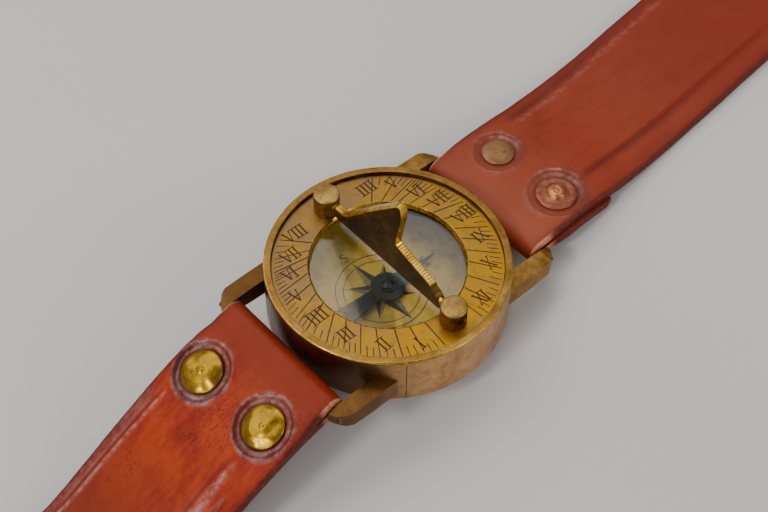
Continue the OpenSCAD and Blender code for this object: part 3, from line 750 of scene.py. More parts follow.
for nm, r, w in (("inner", 7.25, 0.16), ("outer", 8.76, 0.2)):
    done(ring_print("rose_ring_" + nm, r, w, CT - 0.03, CT + 0.025, M_INK_CARD), "case", "brass_card")
star_d, star_l = [], []
for k in range(8):
    a = math.radians(45 * k)
    L = 8.6 if k % 2 == 0 else 6.6
    wb = 3.0 if k % 2 == 0 else 2.3
    c, s = math.cos(a), math.sin(a)

    def pt(x, y):
        return (RX + x * c - y * s, RY + x * s + y * c)
    inner = 2.4
    star_d.append(([pt(0.2, 0), pt(inner, -wb / 2), pt(L, 0)], CT - 0.03, CT + 0.035))
    star_l.append(([pt(0.2, 0), pt(L, 0), pt(inner, wb / 2)], CT - 0.03, CT + 0.03))
# letter marks of the four quarters outside the rings
def letter(strokes, cx, cy, hgt):
    out = []
    for x0, y0, x1, y1, w in strokes:
        out.append(([(cx - px, cy - py) for px, py in quad((x0 - 0.3) * hgt, (y0 - 0.5) * hgt, (x1 - 0.3) * hgt, (y1 - 0.5) * hgt, w)], CT - 0.03, CT + 0.03 + 0.001 * len(out)))
    return out


L_S = [(0.55, 0.85, 0.3, 1.0, 0.2), (0.3, 1.0, 0.06, 0.82, 0.22), (0.06, 0.82, 0.14, 0.6, 0.24), (0.14, 0.6, 0.48, 0.42, 0.28), (0.48, 0.42, 0.56, 0.2, 0.24), (0.56, 0.2, 0.32, 0.0, 0.22), (0.32, 0.0, 0.04, 0.14, 0.2)]
L_N = [(0.06, 0, 0.06, 1, 0.2), (0.06, 1, 0.56, 0, 0.3), (0.56, 0, 0.56, 1, 0.2)]
L_E = [(0.08, 0, 0.08, 1, 0.28), (0.08, 1, 0.56, 1, 0.2), (0.08, 0.5, 0.46, 0.5, 0.18), (0.08, 0, 0.56, 0, 0.2)]
L_W = [(-0.05, 1, 0.15, 0, 0.26), (0.15, 0, 0.32, 0.8, 0.18), (0.32, 0.8, 0.48, 0, 0.26), (0.48, 0, 0.68, 1, 0.18)]
letters = letter(L_S, 1.2, -11.2, 2.0) + letter(L_N, 0.9, 10.4, 2.0) + letter(L_E, -10.2, -0.6, 1.9) + letter(L_W, 11.6, -0.6, 1.9)
star_d += letters
done(many_prisms("rose_dark", star_d, [M_INK_CARD]), "case", "brass_card")
done(many_prisms("rose_light", star_l, [M_INK_GREY]), "case", "brass_card")

NZ = 3.0
hub = arc(0, 0, 3.25, 24, 156, 18)
poly = [(10.9, -1.9), (9.4, 0.0), (10.9, 1.9)] + [(3.1, 1.35)] + arc(0, 0, 3.3, 26, 150, 20) + [(-3.4, 1.35), (-12, 0.05), (-12, -0.05), (-3.4, -1.35)] + arc(0, 0, 3.3, 210, 334, 20) + [(3.1, -1.35)]
needle = prism("needle_cut", poly, NZ, NZ + 0.4, [M_BLUED])
boolean(needle, tube("needle_hole", 1.1, (0, 0, 2), (0, 0, 4), [M_BLUED], 48))
bevel(needle, 0.09, 2, 35)
done(needle, "needle", "steel_blued", "needle")

# CAD pieces whose shape is right get their finish
for node, mat in (("case_back", M_CASE), ("strap_bar_buckle", M_DARK), ("strap_bar_tip", M_DARK), ("needle_pivot", M_PIN), ("spacer_ring", M_SPACER), ("glass_seal", M_SEAL),
                  ("needle_cap", M_BLUED), ("burrs_buckle", M_DARK), ("burrs_tip", M_DARK), ("end_burrs", M_DARK), ("buckle_bar", M_DARK)):
    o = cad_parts[node]
    o.data.materials.clear()
    o.data.materials.append(mat)


# ------------------------------------------------------------------ leather
def ribbon(name, outer, thick, halfw, disp, place, mat, rows=84, closed=False, e=0.42, info=None, inner_rows=12):
    """A strip swept along a line in a plane. outer: the line of its finished face; the body lies to the right of travel.
    thick and halfw: one value per station. disp(i, w) lifts the finished face at station i, distance w across.
    place(a, b, w): point of the row frame, in mm. info(i, w, kind): attribute values of a vertex."""
    n = len(outer)
    verts, faces, att, ring_n = [], [], [], None
    for i in range(n):
        a = outer[(i - 1) % n] if closed or i > 0 else outer[i]
        b = outer[(i + 1) % n] if closed or i < n - 1 else outer[i]
        d = (b - a).normalized()
        nr = Vector((d.y, -d.x))      # into the leather
        t, w = thick[i], halfw[i]
        r = min(e, t * 0.45)
        re = r * 0.55
        k0 = len(verts)

        def put(dep, ww, kind, o=outer[i], nr=nr, i=i):
            p = o + nr * dep
            verts.append(place(p.x, p.y, ww))
            att.append(info(i, ww, kind) if info else None)
        for k in range(rows + 1):
            ww = -(w - r) + 2 * (w - r) * k / rows
            put(-disp(i, ww), ww, "face")
        de = disp(i, w - r)
        for k in (1, 2, 3):
            q = math.radians(90 - 30 * k)
            put(r - r * math.sin(q) - de * (1 - k / 4), w - r + r * math.cos(q), "corner")
        put(t * 0.5, w + 0.03, "side")
        for k in (1, 2, 3):
            q = math.radians(30 * (k - 1))
            put(t - re + re * math.sin(q), w - re + re * math.cos(q), "corner")
        for k in range(inner_rows + 1):
            ww = (w - re) - 2 * (w - re) * k / inner_rows
            put(t, ww, "back")
        for k in (1, 2, 3):
            q = math.radians(90 - 30 * k + 30)
            put(t - re + re * math.sin(q - math.radians(30)), -(w - re) - re * math.cos(q - math.radians(30)), "corner")
        put(t * 0.5, -w - 0.03, "side")
        de = disp(i, -(w - r))
        for k in (3, 2, 1):
            q = math.radians(90 - 30 * k)
            put(r - r * math.sin(q) - de * (1 - k / 4), -(w - r) - r * math.cos(q), "corner")
        ring_n = len(verts) - k0
    for i in range(n if closed else n - 1):
        j = (i + 1) % n
        for k in range(ring_n):
            l = (k + 1) % ring_n
            faces.append([i * ring_n + k, i * ring_n + l, j * ring_n + l, j * ring_n + k])
    if not closed:
        faces.append(list(range(ring_n)))
        faces.append(list(range((n - 1) * ring_n, n * ring_n))[::-1])
    ob = new_object(name, verts, faces, [mat], None, 50)
    if info:
        for key in att[0]:
            a = ob.data.attributes.new(key, "FLOAT", "POINT")
            a.data.foreach_set("value", [q[key] for q in att])
    return ob


def resample(pts, vals, spacing):
    """Even spacing along a line; spacing(p) gives the step at a point; vals are lists carried along."""
    out, carried = [pts[0]], [[v[0]] for v in vals]
    need = spacing(pts[0])
    for i in range(1, len(pts)):
        a, b = pts[i - 1], pts[i]
        seg, pos = (b - a).length, 0.0
        while seg - pos > need:
            pos += need
            t = pos / seg
            out.append(a.lerp(b, t))
            for c, v in zip(carried, vals):
                c.append(v[i - 1] * (1 - t) + v[i] * t)
            need = spacing(out[-1])
        need -= seg - pos
    if (out[-1] - pts[-1]).length > 0.05:
        out.append(pts[-1])
        for c, v in zip(carried, vals):
            c.append(v[-1])
    return out, carried


def interp(table, x):
    if x <= table[0][0]:
        return table[0][1]
    for (x0, y0), (x1, y1) in zip(table, table[1:]):
        if x <= x1:
            return y0 + (y1 - y0) * sstep(0, 1, (x - x0) / (x1 - x0)) if True else 0
    return table[-1][1]


HB, HT = 14.457, 5.083          # heights of the strap bars
UB, UT = 24.4108, 26.5624       # their distances outward
LR, HR = 2.6, 0.86              # outside and inside of a loop


def n2(x, y, s, seed=0.0):
    return noise.noise(Vector((x * s + seed, y * s - seed, seed)))


# --- buckle half
under = smooth_line([[44.9, 8.55], [40, 9.7], [35, 10.8], [30, 11.6], [UB, HB - LR]], 8)
loop1 = [Vector(p) for p in arc(UB, HB, LR, 270, 90, 22)]
top = smooth_line([[UB, HB + LR], [28, 16.41], [32, 15.7], [36, 15], [41, 13.8], [47, 12.1], [55.4, 9.2], [61, 7.2], [66.6, 5.1], [70.6, 3.85], [74, 3.3], [77.4, 3.65], [80.4, 3.95]], 6) \
    + smooth_line([[91.5, 3.95], [94, 4.3], [96, 4.38], [102.5, 4.4], [105.5, 5.4], [108, 6.18]], 6)
loop2 = [Vector(p) for p in arc(108, 3.1, 3.06, 90, -90, 22)]
under2 = [Vector((108 - 0.6 * k, 0.04)) for k in range(1, 25)]
lineb, tb, part = [], [], []
for pts, fn, code in ((under[:-1], lambda p: interp([(24, 1.74), (27, 1.95), (30, 2.12), (36, 2.02), (44.9, 1.05)], p.x), 0),
                      (loop1[:-1], lambda p: 1.74, 1),
                      (top[:-1], lambda p: interp([(24.4, 1.74), (27, 1.95), (30, 2.1), (44, 2.12), (47.5, 2.38), (100, 2.38), (104, 2.1), (108, 1.86)], p.x), 2),
                      (loop2, lambda p: 1.86, 3),
                      (under2, lambda p: interp([(93.6, 1.1), (97, 1.7), (103, 1.85), (108, 1.86)], p.x), 4)):
    for p in pts:
        lineb.append(p)
        tb.append(fn(p))
        part.append(float(code))
lineb, (tb, part) = resample(lineb, [tb, part], lambda p: 0.34 if p.x < 50 else (0.55 if p.x < 80 else 0.9))
wb = []
for p, c in zip(lineb, part):
    w = 14.45 + 0.62 * sstep(27.7, 32.5, p.x)
    w += 0.10 * n2(p.x, 3.0, 0.13, 4.0) + 0.05 * n2(p.x, 8.0, 0.5, 1.0)
    w = min(w, 15.14) if p.x > 32.5 else min(w, 14.5 + 0.62 * sstep(27.7, 32.5, p.x))
    wb.append(min(w, 14.35) if c < 0.9 else w)
RB = [(36.1, -8.6), (35.2, 8.0)]


def ring_press(r, rin, rout):
    """Leather pressed by the setting tool: sunk round the head, a fine ridge, a groove, then a rolled-up rim."""
    d = -0.34 * (1 - sstep(rout - 0.5, rout, r))
    d += 0.26 * bumpf(r, rin + 0.75, 0.32)
    d -= 0.12 * bumpf(r, rout - 0.15, 0.2)
    d += 0.24 * bumpf(r, rout + 0.42, 0.4)
    d -= 0.05 * bumpf(r, rout + 1.6, 0.7)
    return d


def crease_y(u, which, side):
    """Where the long creases run: y at a distance outward."""
    if side > 0:
        return (-11.6 - 0.9 * sstep(46, 74, u) + 0.18 * math.sin(u * 0.21)) if which < 0 else (8.5 + 1.3 * sstep(44, 70, u) + 0.15 * math.sin(u * 0.17 + 1))
    return (-11.2 - 1.0 * sstep(48, 90, u) + 0.15 * math.sin(u * 0.16)) if which < 0 else (8.3 + 1.4 * sstep(44, 90, u) + 0.12 * math.sin(u * 0.19 + 2))


def face_b(u, y):
    d = 0.10 * n2(u, y, 0.11, 2.0) + 0.045 * n2(u, y, 0.42, 5.0) + 0.02 * n2(u, y, 1.1, 8.0)
    for ru, ry in RB:
        r = math.hypot((u - ru) * 1.02, y - ry)
        ang = math.atan2(y - ry, u - ru)
        if r < 9:
            rr = r + 0.12 * math.sin(2 * ang + ru) + 0.05 * math.sin(5 * ang)
            d += ring_press(rr, 4.1, 5.6) * (1 + 0.25 * math.sin(ang * 1.0 + ry)) + 0.06 * noise.noise(Vector((u * 1.3, y * 1.3, 5.0))) * bumpf(rr, 5.2, 0.9)
    fade = 1 - sstep(78, 84, u)
    for which, start in ((-1, 41.5), (1, 42.5)):
        s = sstep(start, start + 3.5, u) * fade
        yc = crease_y(u, which, 1)
        dd = (y - yc) * which          # positive on the flange side
        if which < 0:
            d += 0.16 * s * bumpf(dd, -0.1, 0.3)
            d -= 0.32 * s * bumpf(dd, 0.75, 0.5)
            d -= 0.14 * s * sstep(0.4, 2.4, dd)
        else:
            w2 = 0.55 + 0.5 * sstep(44, 56, u)
            d -= 0.16 * s * bumpf(dd, -1.5, 0.5)
            d += 0.34 * s * bumpf(dd, 0.2, w2)
            d -= 0.42 * sstep(47, 53, u) * fade * bumpf(dd, 3.4, 0.6)
            d -= 0.1 * s * sstep(2.0, 4.0, dd)
    # gentle transverse drag lines by the fold
    d += 0.05 * math.sin(u * 2.1 + 0.6 * n2(u, y, 0.2) * 4) * bumpf(u, 29.5, 2.2)
    return d


def att_b(line, part, w_of, rivets, rr_in, rr_out, side, press_dark):
    def info(i, w, kind):
        u, code = line[i].x, part[i]
        top_side = 1.0 <= code <= 2.6
        edge_d = w_of[i] - abs(w)
        edge = 1.0 if kind == "side" else (0.75 if kind == "corner" else 0.55 * (1 - sstep(0.0, 1.1, edge_d)) + 0.2 * (1 - sstep(0.6, 2.6, edge_d)))
        if kind == "back":
            edge = 0.35
        if code < 0.9:
            edge = max(edge, 0.75)
        raw = 0.0
        if kind in ("side", "corner"):
            raw = (1 - sstep(25.6 if side > 0 else 28.6, 27.4 if side > 0 else 31.0, u)) if abs(w) > 10 else 0.0
        elif kind == "face" and 1 <= code <= 2.3:
            raw = 0.6 * (1 - sstep(0.0, 0.7, edge_d)) * (1 - sstep(25.0 if side > 0 else 27.0, 26.5 if side > 0 else 30.0, u))
        ring = shaded_creases = burnish_and_glint = 0.0
        if kind == "face" and top_side:
            for (ru, ry), dark, rin, rout in zip(rivets, press_dark, rr_in, rr_out):
                r = math.hypot(u - ru, w - ry)
                if r > rout + 3:
                    continue
                ang = math.atan2(w - ry, u - ru)
                # glint_bias: the painted highlights on the ridges round each head are strongest on the side where the
                # lamps' glints fall, with small ripples round the ring
                c = math.cos(ang + math.radians(137 if side > 0 else 42))
                glint_bias = (0.45 + 0.55 * c * c) if side > 0 else (0.15 + 0.85 * max(0, c) ** 2 + 0.25 * max(0, -c) ** 2)
                glint_bias *= 0.8 + 0.2 * math.sin(5 * ang + ru) + 0.2 * math.sin(9 * ang + ry)
                ring = max(ring, dark * (1 - sstep(rout + 0.1, rout + 1.0, r)) * 0.85)
                wide = 1.0 if side > 0 else 1.6
                # shaded_creases: painted shade in the groove by the head and in the groove at the ring's outer edge
                shaded_creases = max(shaded_creases, dark * 0.95 * bumpf(r, rout - 0.15, 0.2 * wide), dark * 0.9 * bumpf(r, rin + 0.12, 0.26 * wide))
                burnish_and_glint = max(burnish_and_glint, glint_bias * max(0.8 * bumpf(r, rin + 0.8, 0.3), 0.75 * bumpf(r, rout + 0.42, 0.36)))
            # the long creases: shaded_creases paints shade in each groove and on the sunk flange beyond it,
            # burnish_and_glint a painted highlight on the ridges beside it
            for which in (-1, 1):
                s = sstep(42, 46, u) * (1 - sstep(78, 84, u) if side > 0 else 1 - sstep(92, 101, u))
                dd = (w - crease_y(u, which, side)) * which
                if side > 0 and which < 0:
                    burnish_and_glint = max(burnish_and_glint, 0.85 * s * bumpf(dd, -0.1, 0.32))
                    shaded_creases = max(shaded_creases, 0.5 * s * bumpf(dd, 0.8, 0.6), 0.42 * s * sstep(0.3, 1.2, dd))
                    burnish_and_glint = max(burnish_and_glint, 0.24 * s * sstep(0.6, 2.0, dd))
                elif side > 0:
                    burnish_and_glint = max(burnish_and_glint, 0.75 * s * bumpf(dd, 0.2, 0.5 + 0.5 * sstep(44, 56, u)))
                    shaded_creases = max(shaded_creases, 0.45 * s * bumpf(dd, -1.4, 0.5), 0.8 * sstep(47, 53, u) * s * bumpf(dd, 3.4, 0.7))
                elif which < 0:
                    burnish_and_glint = max(burnish_and_glint, 0.2 * s * bumpf(dd, -0.9, 0.8))
                    shaded_creases = max(shaded_creases, 0.7 * s * bumpf(dd, 0.8, 1.1), 0.16 * s * sstep(0.5, 2.0, dd))
                else:
                    shaded_creases = max(shaded_creases, 0.75 * s * bumpf(dd, 0.1, 0.75))
        # fold: the zone by the bar, which on the tip half reaches further out to carry the painted sheen
        fold = (1 - sstep(26.5, 37.0, u)) if side > 0 else (1 - sstep(30.0, 50.0, u))
        if code < 0.9 or code > 3.2:
            fold = 0.0
        return {"edge": min(1, edge), "rawedge": raw, "ring": min(1, ring), "shaded_creases": min(1, shaded_creases), "burnish_and_glint": min(1, burnish_and_glint), "fold": fold,
                "far": 0.9 * sstep(44, 72, u) if side > 0 else 0.7 * sstep(56, 86, u)}
    return info


lb = ribbon("leather_buckle_folded", lineb, tb, wb,
            lambda i, w: (face_b(lineb[i].x, w) * sstep(24.4, 27.5, lineb[i].x) * (1 - sstep(86, 92, lineb[i].x))) if 1.95 <= part[i] < 2.05 else 0.03 * n2(lineb[i].x, w, 0.4),
            lambda a, b, w: (a, w, TABLE + b), M_LEATHER_B, info=att_b(lineb, part, wb, RB, (4.1, 4.1), (5.6, 5.6), 1, (1.0, 1.0)))
# slot for the prong
slot_cut = prism("slot_cutter", rounded([(102.6, -1.9), (114.4, -1.9), (114.4, 1.9), (102.6, 1.9)], [1.85, 0, 0, 1.85], 8), TABLE - 1, TABLE + 12, [M_LEATHER_B], WORLD)
boolean(lb, slot_cut, angle=50)
done(lb, "strap_buckle", "leather", "leather_buckle")

# --- tip half
under = smooth_line([[45.2, 0.62], [42, 1.35], [38, 2.2], [34, 2.8], [30.5, 2.85], [UT, HT - LR]], 8)
loop1 = [Vector(p) for p in arc(UT, HT, LR, 270, 90, 22)]
top = smooth_line([[UT, HT + LR], [30, 7.63], [34, 7.3], [39.5, 6.3], [43, 5.5], [46.5, 4.65], [52, 3.6], [57, 3.0], [62, 2.6], [67, 2.4], [80, 2.4], [100, 2.4], [120, 2.4], [138, 2.4], [151.9, 2.4]], 8)
linet, tt, partt = [], [], []
for pts, fn, code in ((under[:-1], lambda p: interp([(26, 1.74), (29, 2.0), (32, 2.2), (38, 2.0), (45.2, 1.8)], p.x), 0),
                      (loop1[:-1], lambda p: 1.74, 1),
                      (top, lambda p: interp([(26.6, 1.74), (29, 1.95), (32, 2.1), (43, 2.15), (48, 2.36), (152, 2.36)], p.x), 2)):
    for p in pts:
        linet.append(p)
        tt.append(fn(p))
        partt.append(float(code))
linet, (tt, partt) = resample(linet, [tt, partt], lambda p: 0.34 if p.x < 48 else (0.6 if p.x < 100 else (0.8 if p.x < 140 else 0.45)))
tipw = [(137, 14.5), (142, 13.8), (146, 11.6), (148.6, 8.7), (150.6, 5.0), (151.9, 1.2)]


def tip_half(u):
    for (x0, y0), (x1, y1) in zip(tipw, tipw[1:]):
        if x0 <= u <= x1:
            return y0 + (y1 - y0) * (u - x0) / (x1 - x0)
    return 14.5


wt = []
for p, c in zip(linet, partt):
    w = 14.36 + 0.10 * n2(p.x, 5.0, 0.1, 7.0) + 0.04 * n2(p.x, 8.0, 0.5, 3.0)
    w = min(w, 14.5, tip_half(p.x))
    # the end folded under was cut a little wider and left so
    wt.append(w + 0.75 * sstep(28.5, 34, p.x) * (1 - 0.6 * sstep(43.8, 45.2, p.x)) if c < 0.9 else w)
RT = [(36.4, -6.9), (37.4, 8.1)]


def face_t(u, y):
    d = 0.08 * n2(u, y, 0.09, 12.0) + 0.03 * n2(u, y, 0.4, 15.0)
    for (ru, ry), rin, rout, k in ((RT[0], 3.3, 4.75, 0.85), (RT[1], 4.1, 5.6, 1.0)):
        r = math.hypot((u - ru) * 1.02, y - ry)
        ang = math.atan2(y - ry, u - ru)
        if r < 9:
            rr = r + 0.14 * math.sin(2 * ang + ru)
            d += k * (-0.42 * (1 - sstep(rout - 0.8, rout - 0.05, rr)) + 0.26 * bumpf(rr, rout + 0.3, 0.36) + 0.2 * bumpf(rr, rin + 0.8, 0.3) - 0.05 * bumpf(rr, rout + 1.4, 0.6))
            d += 0.07 * noise.noise(Vector((u * 1.2, y * 1.2, 3.0))) * bumpf(rr, rout, 0.9)
    fade = 1 - sstep(92, 101, u)
    for which, start in ((-1, 41.0), (1, 42.0)):
        s = sstep(start, start + 5, u) * fade
        yc = crease_y(u, which, -1)
        dd = (y - yc) * which
        d -= 0.22 * s * bumpf(dd, 0.1, 0.8)
        d += 0.14 * s * bumpf(dd, -2.2, 1.8)
        d -= 0.26 * s * sstep(-0.6, 2.2, dd)
    return d


lt = ribbon("leather_tip_folded", linet, tt, wt,
            lambda i, w: (face_t(linet[i].x, w) * sstep(26.6, 29.5, linet[i].x) * (1 - 0.9 * sstep(140, 146, linet[i].x))) if partt[i] >= 1.95 else 0.03 * n2(linet[i].x, w, 0.4),
            lambda a, b, w: (-a, w, TABLE + b + 0.02), M_LEATHER_T, info=att_b(linet, partt, wt, RT, (3.3, 4.1), (4.75, 5.6), -1, (0.75, 1.0)))
for i in range(6):
    boolean(lt, tube("hole_cutter", 1.25, (-104 - 7.5 * i, 0, TABLE - 2), (-104 - 7.5 * i, 0, TABLE + 6), [M_LEATHER_T], 40, WORLD), angle=50)
done(lt, "strap_tip", "leather", "leather_tip")


# --- keepers
def keeper(name, path, closed, x0, x1, t, node, body, mat):
    pts = [Vector(p) for p in path]
    if closed:
        pts.append(pts[0])
    line, (th,) = resample(pts, [[t] * len(pts)], lambda p: 0.45)
    if closed and (line[0] - line[-1]).length < 0.3:
        line.pop(), th.pop()
    c, hw = (x0 + x1) / 2, (x1 - x0) / 2 - 0.04

    def disp(i, w):
        return -0.13 * (bumpf(abs(w), hw - 0.85, 0.16)) + 0.035 * n2(line[i].x * 2, w, 0.5, 3.0)

    # shaded_creases: painted shade along the pressed line near each edge
    def info(i, w, kind):
        return {"edge": 1.0 if kind == "side" else (0.7 if kind == "corner" else 0.4 * (1 - sstep(0, 0.8, hw - abs(w)))), "rawedge": 0.0, "ring": 0.0,
                "shaded_creases": 0.7 * bumpf(abs(w), hw - 0.85, 0.22), "burnish_and_glint": 0.0, "fold": 0.0, "far": 0.5}
    o = ribbon(name, line, th, [hw] * len(line), disp, lambda a, b, w: (c + w, a, TABLE + b), mat, rows=26, closed=closed, e=0.25, info=info, inner_rows=4)
    return done(o, body, "leather", node)


free_path = [(-13.0, 0.22), (-15.4, 0.22)] + arc(-15.35, 1.87, 1.62, 270, 180, 8)[1:] + [(-16.97, 4.0)] + arc(-15.35, 6.13, 1.62, 180, 90, 8) + [(-8.0, 7.78), (0.0, 7.79), (8.0, 7.78)] \
    + arc(15.35, 6.13, 1.62, 90, 0, 8) + [(16.97, 4.0)] + arc(15.35, 1.87, 1.62, 0, -90, 8) + [(13.0, 0.22), (0.0, 0.22)]
keeper("keeper_free_loop", free_path, True, 83.5, 88.5, 1.02, "keeper_free", "keeper_free", M_LEATHER_B)
fixed_path = [(-8.3, 1.84), (-14.6, 1.84)] + arc(-15.5, 3.32, 1.47, 270, 180, 8)[1:] + [(-16.97, 5.0)] + arc(-15.35, 6.33, 1.62, 180, 90, 8) + [(-8.0, 7.98), (0.0, 7.99), (8.0, 7.98)] \
    + arc(15.35, 6.33, 1.62, 90, 0, 8) + [(16.97, 5.0)] + arc(15.5, 3.32, 1.47, 0, -90, 8) + [(14.6, 1.84), (8.3, 1.84)]
keeper("keeper_fixed_loop", fixed_path, False, 94.5, 99.0, 0.86, "keeper_fixed", "strap_buckle", M_LEATHER_B)


# ------------------------------------------------------------------ rivets
def dent(ob, amp, scale, seed):
    """Small hammer marks."""
    for v in ob.data.vertices:
        p = v.co / MM
        q = noise.noise(Vector((p.x * scale + seed, p.y * scale, p.z * scale)))
        v.co += Vector((0, 0, 1)) * q * amp * MM
    ob.data.update()
    return ob


rb_prof = rounded([(0, 0.84), (0.3, 0.84), (0.55, 0.76), (0.9, 0.8), (1.6, 0.77), (2.4, 0.66), (3.2, 0.46), (3.85, 0.22), (4.14, 0.04), (4.1, -0.06), (0, -0.06)],
                  [0, 0.15, 0.15, 0.2, 0.9, 1.2, 1.0, 0.5, 0.08, 0, 0], 4)
for i, (q, h) in enumerate((((36.1, -8.6), 15.03), ((35.2, 8.0), 15.2))):
    o = lathe("rivet_head_buckle_%d" % (i + 1), rb_prof, [M_RIVET], 96, on_strap(1, q[0], q[1], h, 12))
    dent(o, 0.2, 0.55, 3.7 * i + 1)
    done(o, "strap_buckle", "brass_rivet", *(["rivets_buckle"] if i == 0 else []))
    s = lathe("rivet_shank_buckle_%d" % (i + 1), rounded([(0, -5.05), (1.5, -5.05), (1.5, -0.04), (0, -0.04)], [0, 0.25, 0, 0], 3), [M_RIVET], 40, on_strap(1, q[0], q[1], h, 12))
    done(s, "strap_buckle", "brass_rivet")

dome = rounded([(0, 0.74), (1.2, 0.7), (2.3, 0.52), (3.05, 0.2), (3.3, -0.04), (2.8, -0.3), (0, -0.3)], [0, 0.8, 0.8, 0.3, 0.1, 0, 0], 4)
disc = rounded([(0, 1.05), (0.35, 0.98), (0.5, 0.84), (0.7, 0.98), (1.2, 0.96), (1.7, 0.62), (1.9, 0.22), (2.6, 0.12), (3.5, 0.16), (3.95, 0.06), (4.1, -0.12), (3.6, -0.3), (0, -0.3)],
               [0, 0.1, 0.12, 0.2, 0.4, 0.3, 0.2, 0.4, 0.3, 0.12, 0.08, 0, 0], 4)
M_PEACH = brass("brass_rivet_rubbed", (lin((168, 108, 62)), lin((214, 150, 96)), lin((238, 186, 130))), rough=(0.3, 0.42), stain=lin((120, 58, 34)), stain_amount=0.5, scratch=0.2, grain=0.7, seed=45.0, scale=2.5)
M_TINTED = brass("brass_rivet_tinted", (lin((140, 76, 60)), lin((162, 96, 76)), lin((180, 116, 92))), rough=(0.34, 0.48), stain=lin((120, 50, 34)), stain_amount=0.5, scratch=0.2, grain=0.6, seed=49.0, scale=2.0)
for i, (prof, q, h, mats) in enumerate(((dome, (36.4, -6.9), 6.9, [M_DULL]), (disc, (37.4, 8.1), 6.72, [M_TINTED, M_PEACH]))):
    o = lathe("rivet_head_tip_%d" % (i + 1), prof, mats, 96, on_strap(-1, q[0], q[1], h, 10.5), pick=(lambda a, b: 1 if max(a[0], b[0]) < 1.95 and min(a[1], b[1]) > 0 else 0) if i else None)
    dent(o, 0.08, 0.8, 5.1 * i + 2)
    done(o, "strap_tip", "brass_dull", *(["rivets_tip"] if i == 0 else []))
    s = lathe("rivet_shank_tip_%d" % (i + 1), rounded([(0, -4.99), (1.5, -4.99), (1.5, -0.25), (0, -0.25)], [0, 0.25, 0, 0], 3), [M_DULL], 40, on_strap(-1, q[0], q[1], h, 10.5))
    done(s, "strap_tip", "brass_dull")
end_prof = rounded([(0, 0.75), (1.4, 0.6), (1.85, 0.28), (1.9, 0.0), (1.0, 0.0), (1.0, -4.34), (0, -4.34)], [0, 0.6, 0.3, 0.05, 0, 0.2, 0], 4)
for i, y in enumerate((-9, 9)):
    o = lathe("rivet_end_%d" % (i + 1), end_prof, [M_RIVET], 64, on_strap(1, 100.5, y, 4.42, 0))
    dent(o, 0.05, 1.2, i + 6)
    done(o, "strap_buckle", "brass_rivet", *(["end_rivets"] if i == 0 else []))

# ------------------------------------------------------------------ buckle
AT = Matrix.Translation((108, 0, TABLE + 3.1)) @ Matrix.Rotation(math.radians(5.6), 4, "Y")
u_shape = rounded([(0.0, -18.5), (18.0, -18.5), (18.0, 18.5), (0.0, 18.5), (0.0, 15.75), (14.6, 15.75), (14.6, -15.75), (0.0, -15.75)], [0, 4.2, 4.2, 0, 0, 2.2, 2.2, 0], 10)
fr = prism("buckle_cast", u_shape, -1.3, 1.3, [M_EDGE], AT)
bevel(fr, 0.75, 4, 50)
for s in (1, -1):
    b = lathe("barrel", rounded([(0, 15.75), (2.0, 15.75), (2.25, 16.4), (2.25, 17.8), (2.0, 18.5), (0, 18.5)], [0, 0.2, 0.4, 0.4, 0.2, 0], 3), [M_EDGE], 48,
              AT @ Matrix(((1, 0, 0, 0), (0, 0, s, 0), (0, 1, 0, 0), (0, 0, 0, 1))))
    boolean(fr, b, "UNION")
boolean(fr, tube("bar_bore", 1.1, (0, -30, 0), (0, 30, 0), [M_DARK], 48, AT))
done(fr, "buckle", "brass_case", "buckle_frame")
XZ = Matrix(((1, 0, 0, 0), (0, 0, 1, 0), (0, 1, 0, 0), (0, 0, 0, 1)))
prong_side = rounded([(0.3, 0.4), (1.2, 2.2), (6, 2.95), (16, 3.02), (18.6, 2.5), (18.6, 1.95), (16, 1.55), (6, 1.35), (2.4, 1.0)], [0, 0.8, 1.5, 1.0, 0.25, 0.25, 1.0, 1.5, 0], 5)
pr = prism("prong_forged", prong_side, -1.0, 1.0, [M_EDGE], AT @ XZ)
bevel(pr, 0.4, 3, 50)
boolean(pr, tube("wrap", 2.28, (0, -1.6, 0), (0, 1.6, 0), [M_EDGE], 56, AT), "UNION")
boolean(pr, tube("prong_bore", 1.18, (0, -5, 0), (0, 5, 0), [M_DARK], 48, AT))
bevel(pr, 0.12, 2, 60)
done(pr, "prong", "brass_case", "buckle_prong")

# ------------------------------------------------------------------ stage, light, camera
fm = Mat("floor_pale")
fm.set(Base_Color=fm.ramp(fm.noise(0.004, 3, 0.5), [(0.3, lin((214, 213, 210))), (0.7, lin((222, 221, 218)))]), Roughness=fm.range(fm.noise(0.02, 3, 0.5), 0.3, 0.7, 0.75, 0.85))
floor = new_object("floor", [(-2500, -2500, 0), (2500, -2500, 0), (2500, 2500, 0), (-2500, 2500, 0)], [[0, 1, 2, 3]], [fm.m])
floor.location = (0, 0, (TABLE - 0.02) * MM)

world = bpy.data.worlds.new("studio")
bpy.context.scene.world = world
world.use_nodes = True
wt_ = world.node_tree
wt_.nodes.clear()
wo, wbg, wtc, wsep, wr = (wt_.nodes.new(k) for k in ("ShaderNodeOutputWorld", "ShaderNodeBackground", "ShaderNodeTexCoord", "ShaderNodeSeparateXYZ", "ShaderNodeValToRGB"))
wt_.links.new(wtc.outputs["Generated"], wsep.inputs[0])
wt_.links.new(wsep.outputs["Z"], wr.inputs[0])
wr.color_ramp.elements[0].position, wr.color_ramp.elements[0].color = 0.0, (0.55, 0.55, 0.56, 1)
wr.color_ramp.elements[1].position, wr.color_ramp.elements[1].color = 0.8, (0.30, 0.31, 0.33, 1)
wt_.links.new(wr.outputs[0], wbg.inputs["Color"])
wbg.inputs["Strength"].default_value = 0.8
wt_.links.new(wbg.outputs[0], wo.inputs[0])


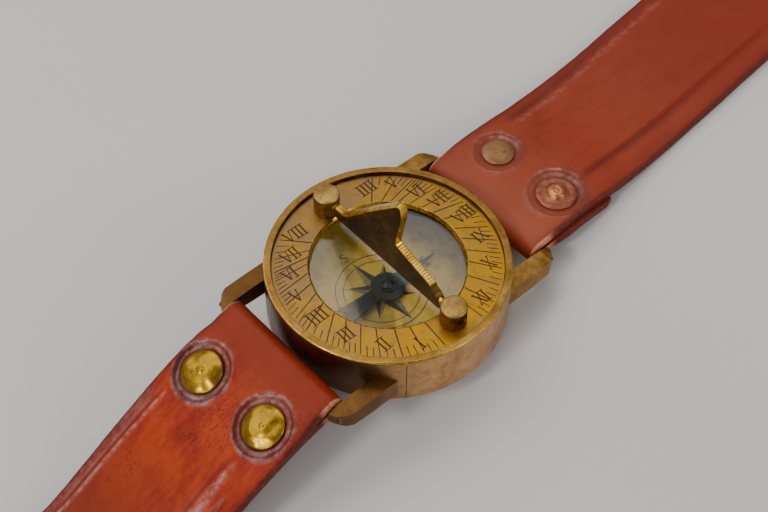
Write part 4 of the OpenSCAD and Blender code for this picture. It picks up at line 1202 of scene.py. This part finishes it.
def area(name, loc, target, size, radiance, colour=(1, 1, 1)):
    """Softbox; radiance is what its face looks like, so power follows from its area."""
    d = bpy.data.lights.new(name, "AREA")
    d.shape = "RECTANGLE"
    d.size, d.size_y = size
    d.energy = radiance * math.pi * size[0] * size[1] * 1.0
    d.color = colour
    o = bpy.data.objects.new(name, d)
    bpy.context.scene.collection.objects.link(o)
    o.location = loc
    o.rotation_euler = (Vector(target) - Vector(loc)).to_track_quat("-Z", "Y").to_euler()
    return o


# camera axes in the row frame (image right, image up, viewing direction)
right = Vector((-0.731061, 0.665610, -0.150041))
up = Vector((-0.638934, -0.590672, 0.492818))
fwd = Vector((-0.239400, -0.456146, -0.857099))
eye = Vector((64.7962, 127.0922, 252.407)) * MM
cd = bpy.data.cameras.new("camera")
cam = bpy.data.objects.new("camera", cd)
bpy.context.scene.collection.objects.link(cam)
bpy.context.scene.camera = cam
cd.lens, cd.sensor_width, cd.sensor_fit = 71.573, 36.0, "HORIZONTAL"
cd.clip_start, cd.clip_end = 0.01, 20
back_ = -fwd
cam.matrix_world = Matrix(((right.x, up.x, back_.x, eye.x), (right.y, up.y, back_.y, eye.y), (right.z, up.z, back_.z, eye.z), (0, 0, 0, 1)))

glass_c = Vector(case_pt(0, 0, 9.7)) * MM
mirror = Vector((-0.5745, -0.4561, 0.6797))
# two soft panels seen in the window glass: axes of the mirrored view, distances in metres
m1, m2 = Vector((-0.7272, 0.6656, -0.1679)), Vector((-0.3758, -0.5907, -0.7141))


def panel(name, a, b, along, length, across, radiance, colour):
    """Softbox square to the mirrored view; (a, b) is its centre, along the direction of its long side."""
    t = (m1 * along[0] + m2 * along[1]).normalized()
    z = mirror.normalized()
    o = area(name, glass_c + mirror.normalized() * 0.62 + m1 * a + m2 * b, glass_c, (length, across), radiance, colour)
    y = z.cross(t)
    o.rotation_euler = Matrix(((t.x, y.x, z.x), (t.y, y.y, z.y), (t.z, y.z, z.z))).to_euler()
    return o


panel("window_left", -0.0446, -0.0172, (0.349, -0.937), 0.14, 0.042, 2.5, (1.0, 0.82, 0.57))
panel("window_right", 0.0183 + 0.002, 0.0208, (0.75, -0.66), 0.2, 0.062, 1.2, (0.97, 0.95, 1.0))
panel("glow", 0.0, -0.19, (1, 0), 0.4, 0.2, 2.8, (1.0, 0.97, 0.92))
area("front", (0.65, -0.01, 0.74), (0, 0, 0), (0.17, 0.17), 27.0, (1.0, 0.98, 0.94))
area("key", (0.08, -0.55, 0.77), (0, 0, 0), (0.8, 0.66), 1.55, (1.0, 0.98, 0.95))
area("side", (-0.45, 0.75, 0.45), (0, 0, 0), (0.35, 0.35), 5.5, (1.0, 0.96, 0.93))
area("fill", (0.7, 0.25, 0.55), (0, 0, 0), (0.6, 0.5), 1.6, (1.0, 0.99, 0.98))
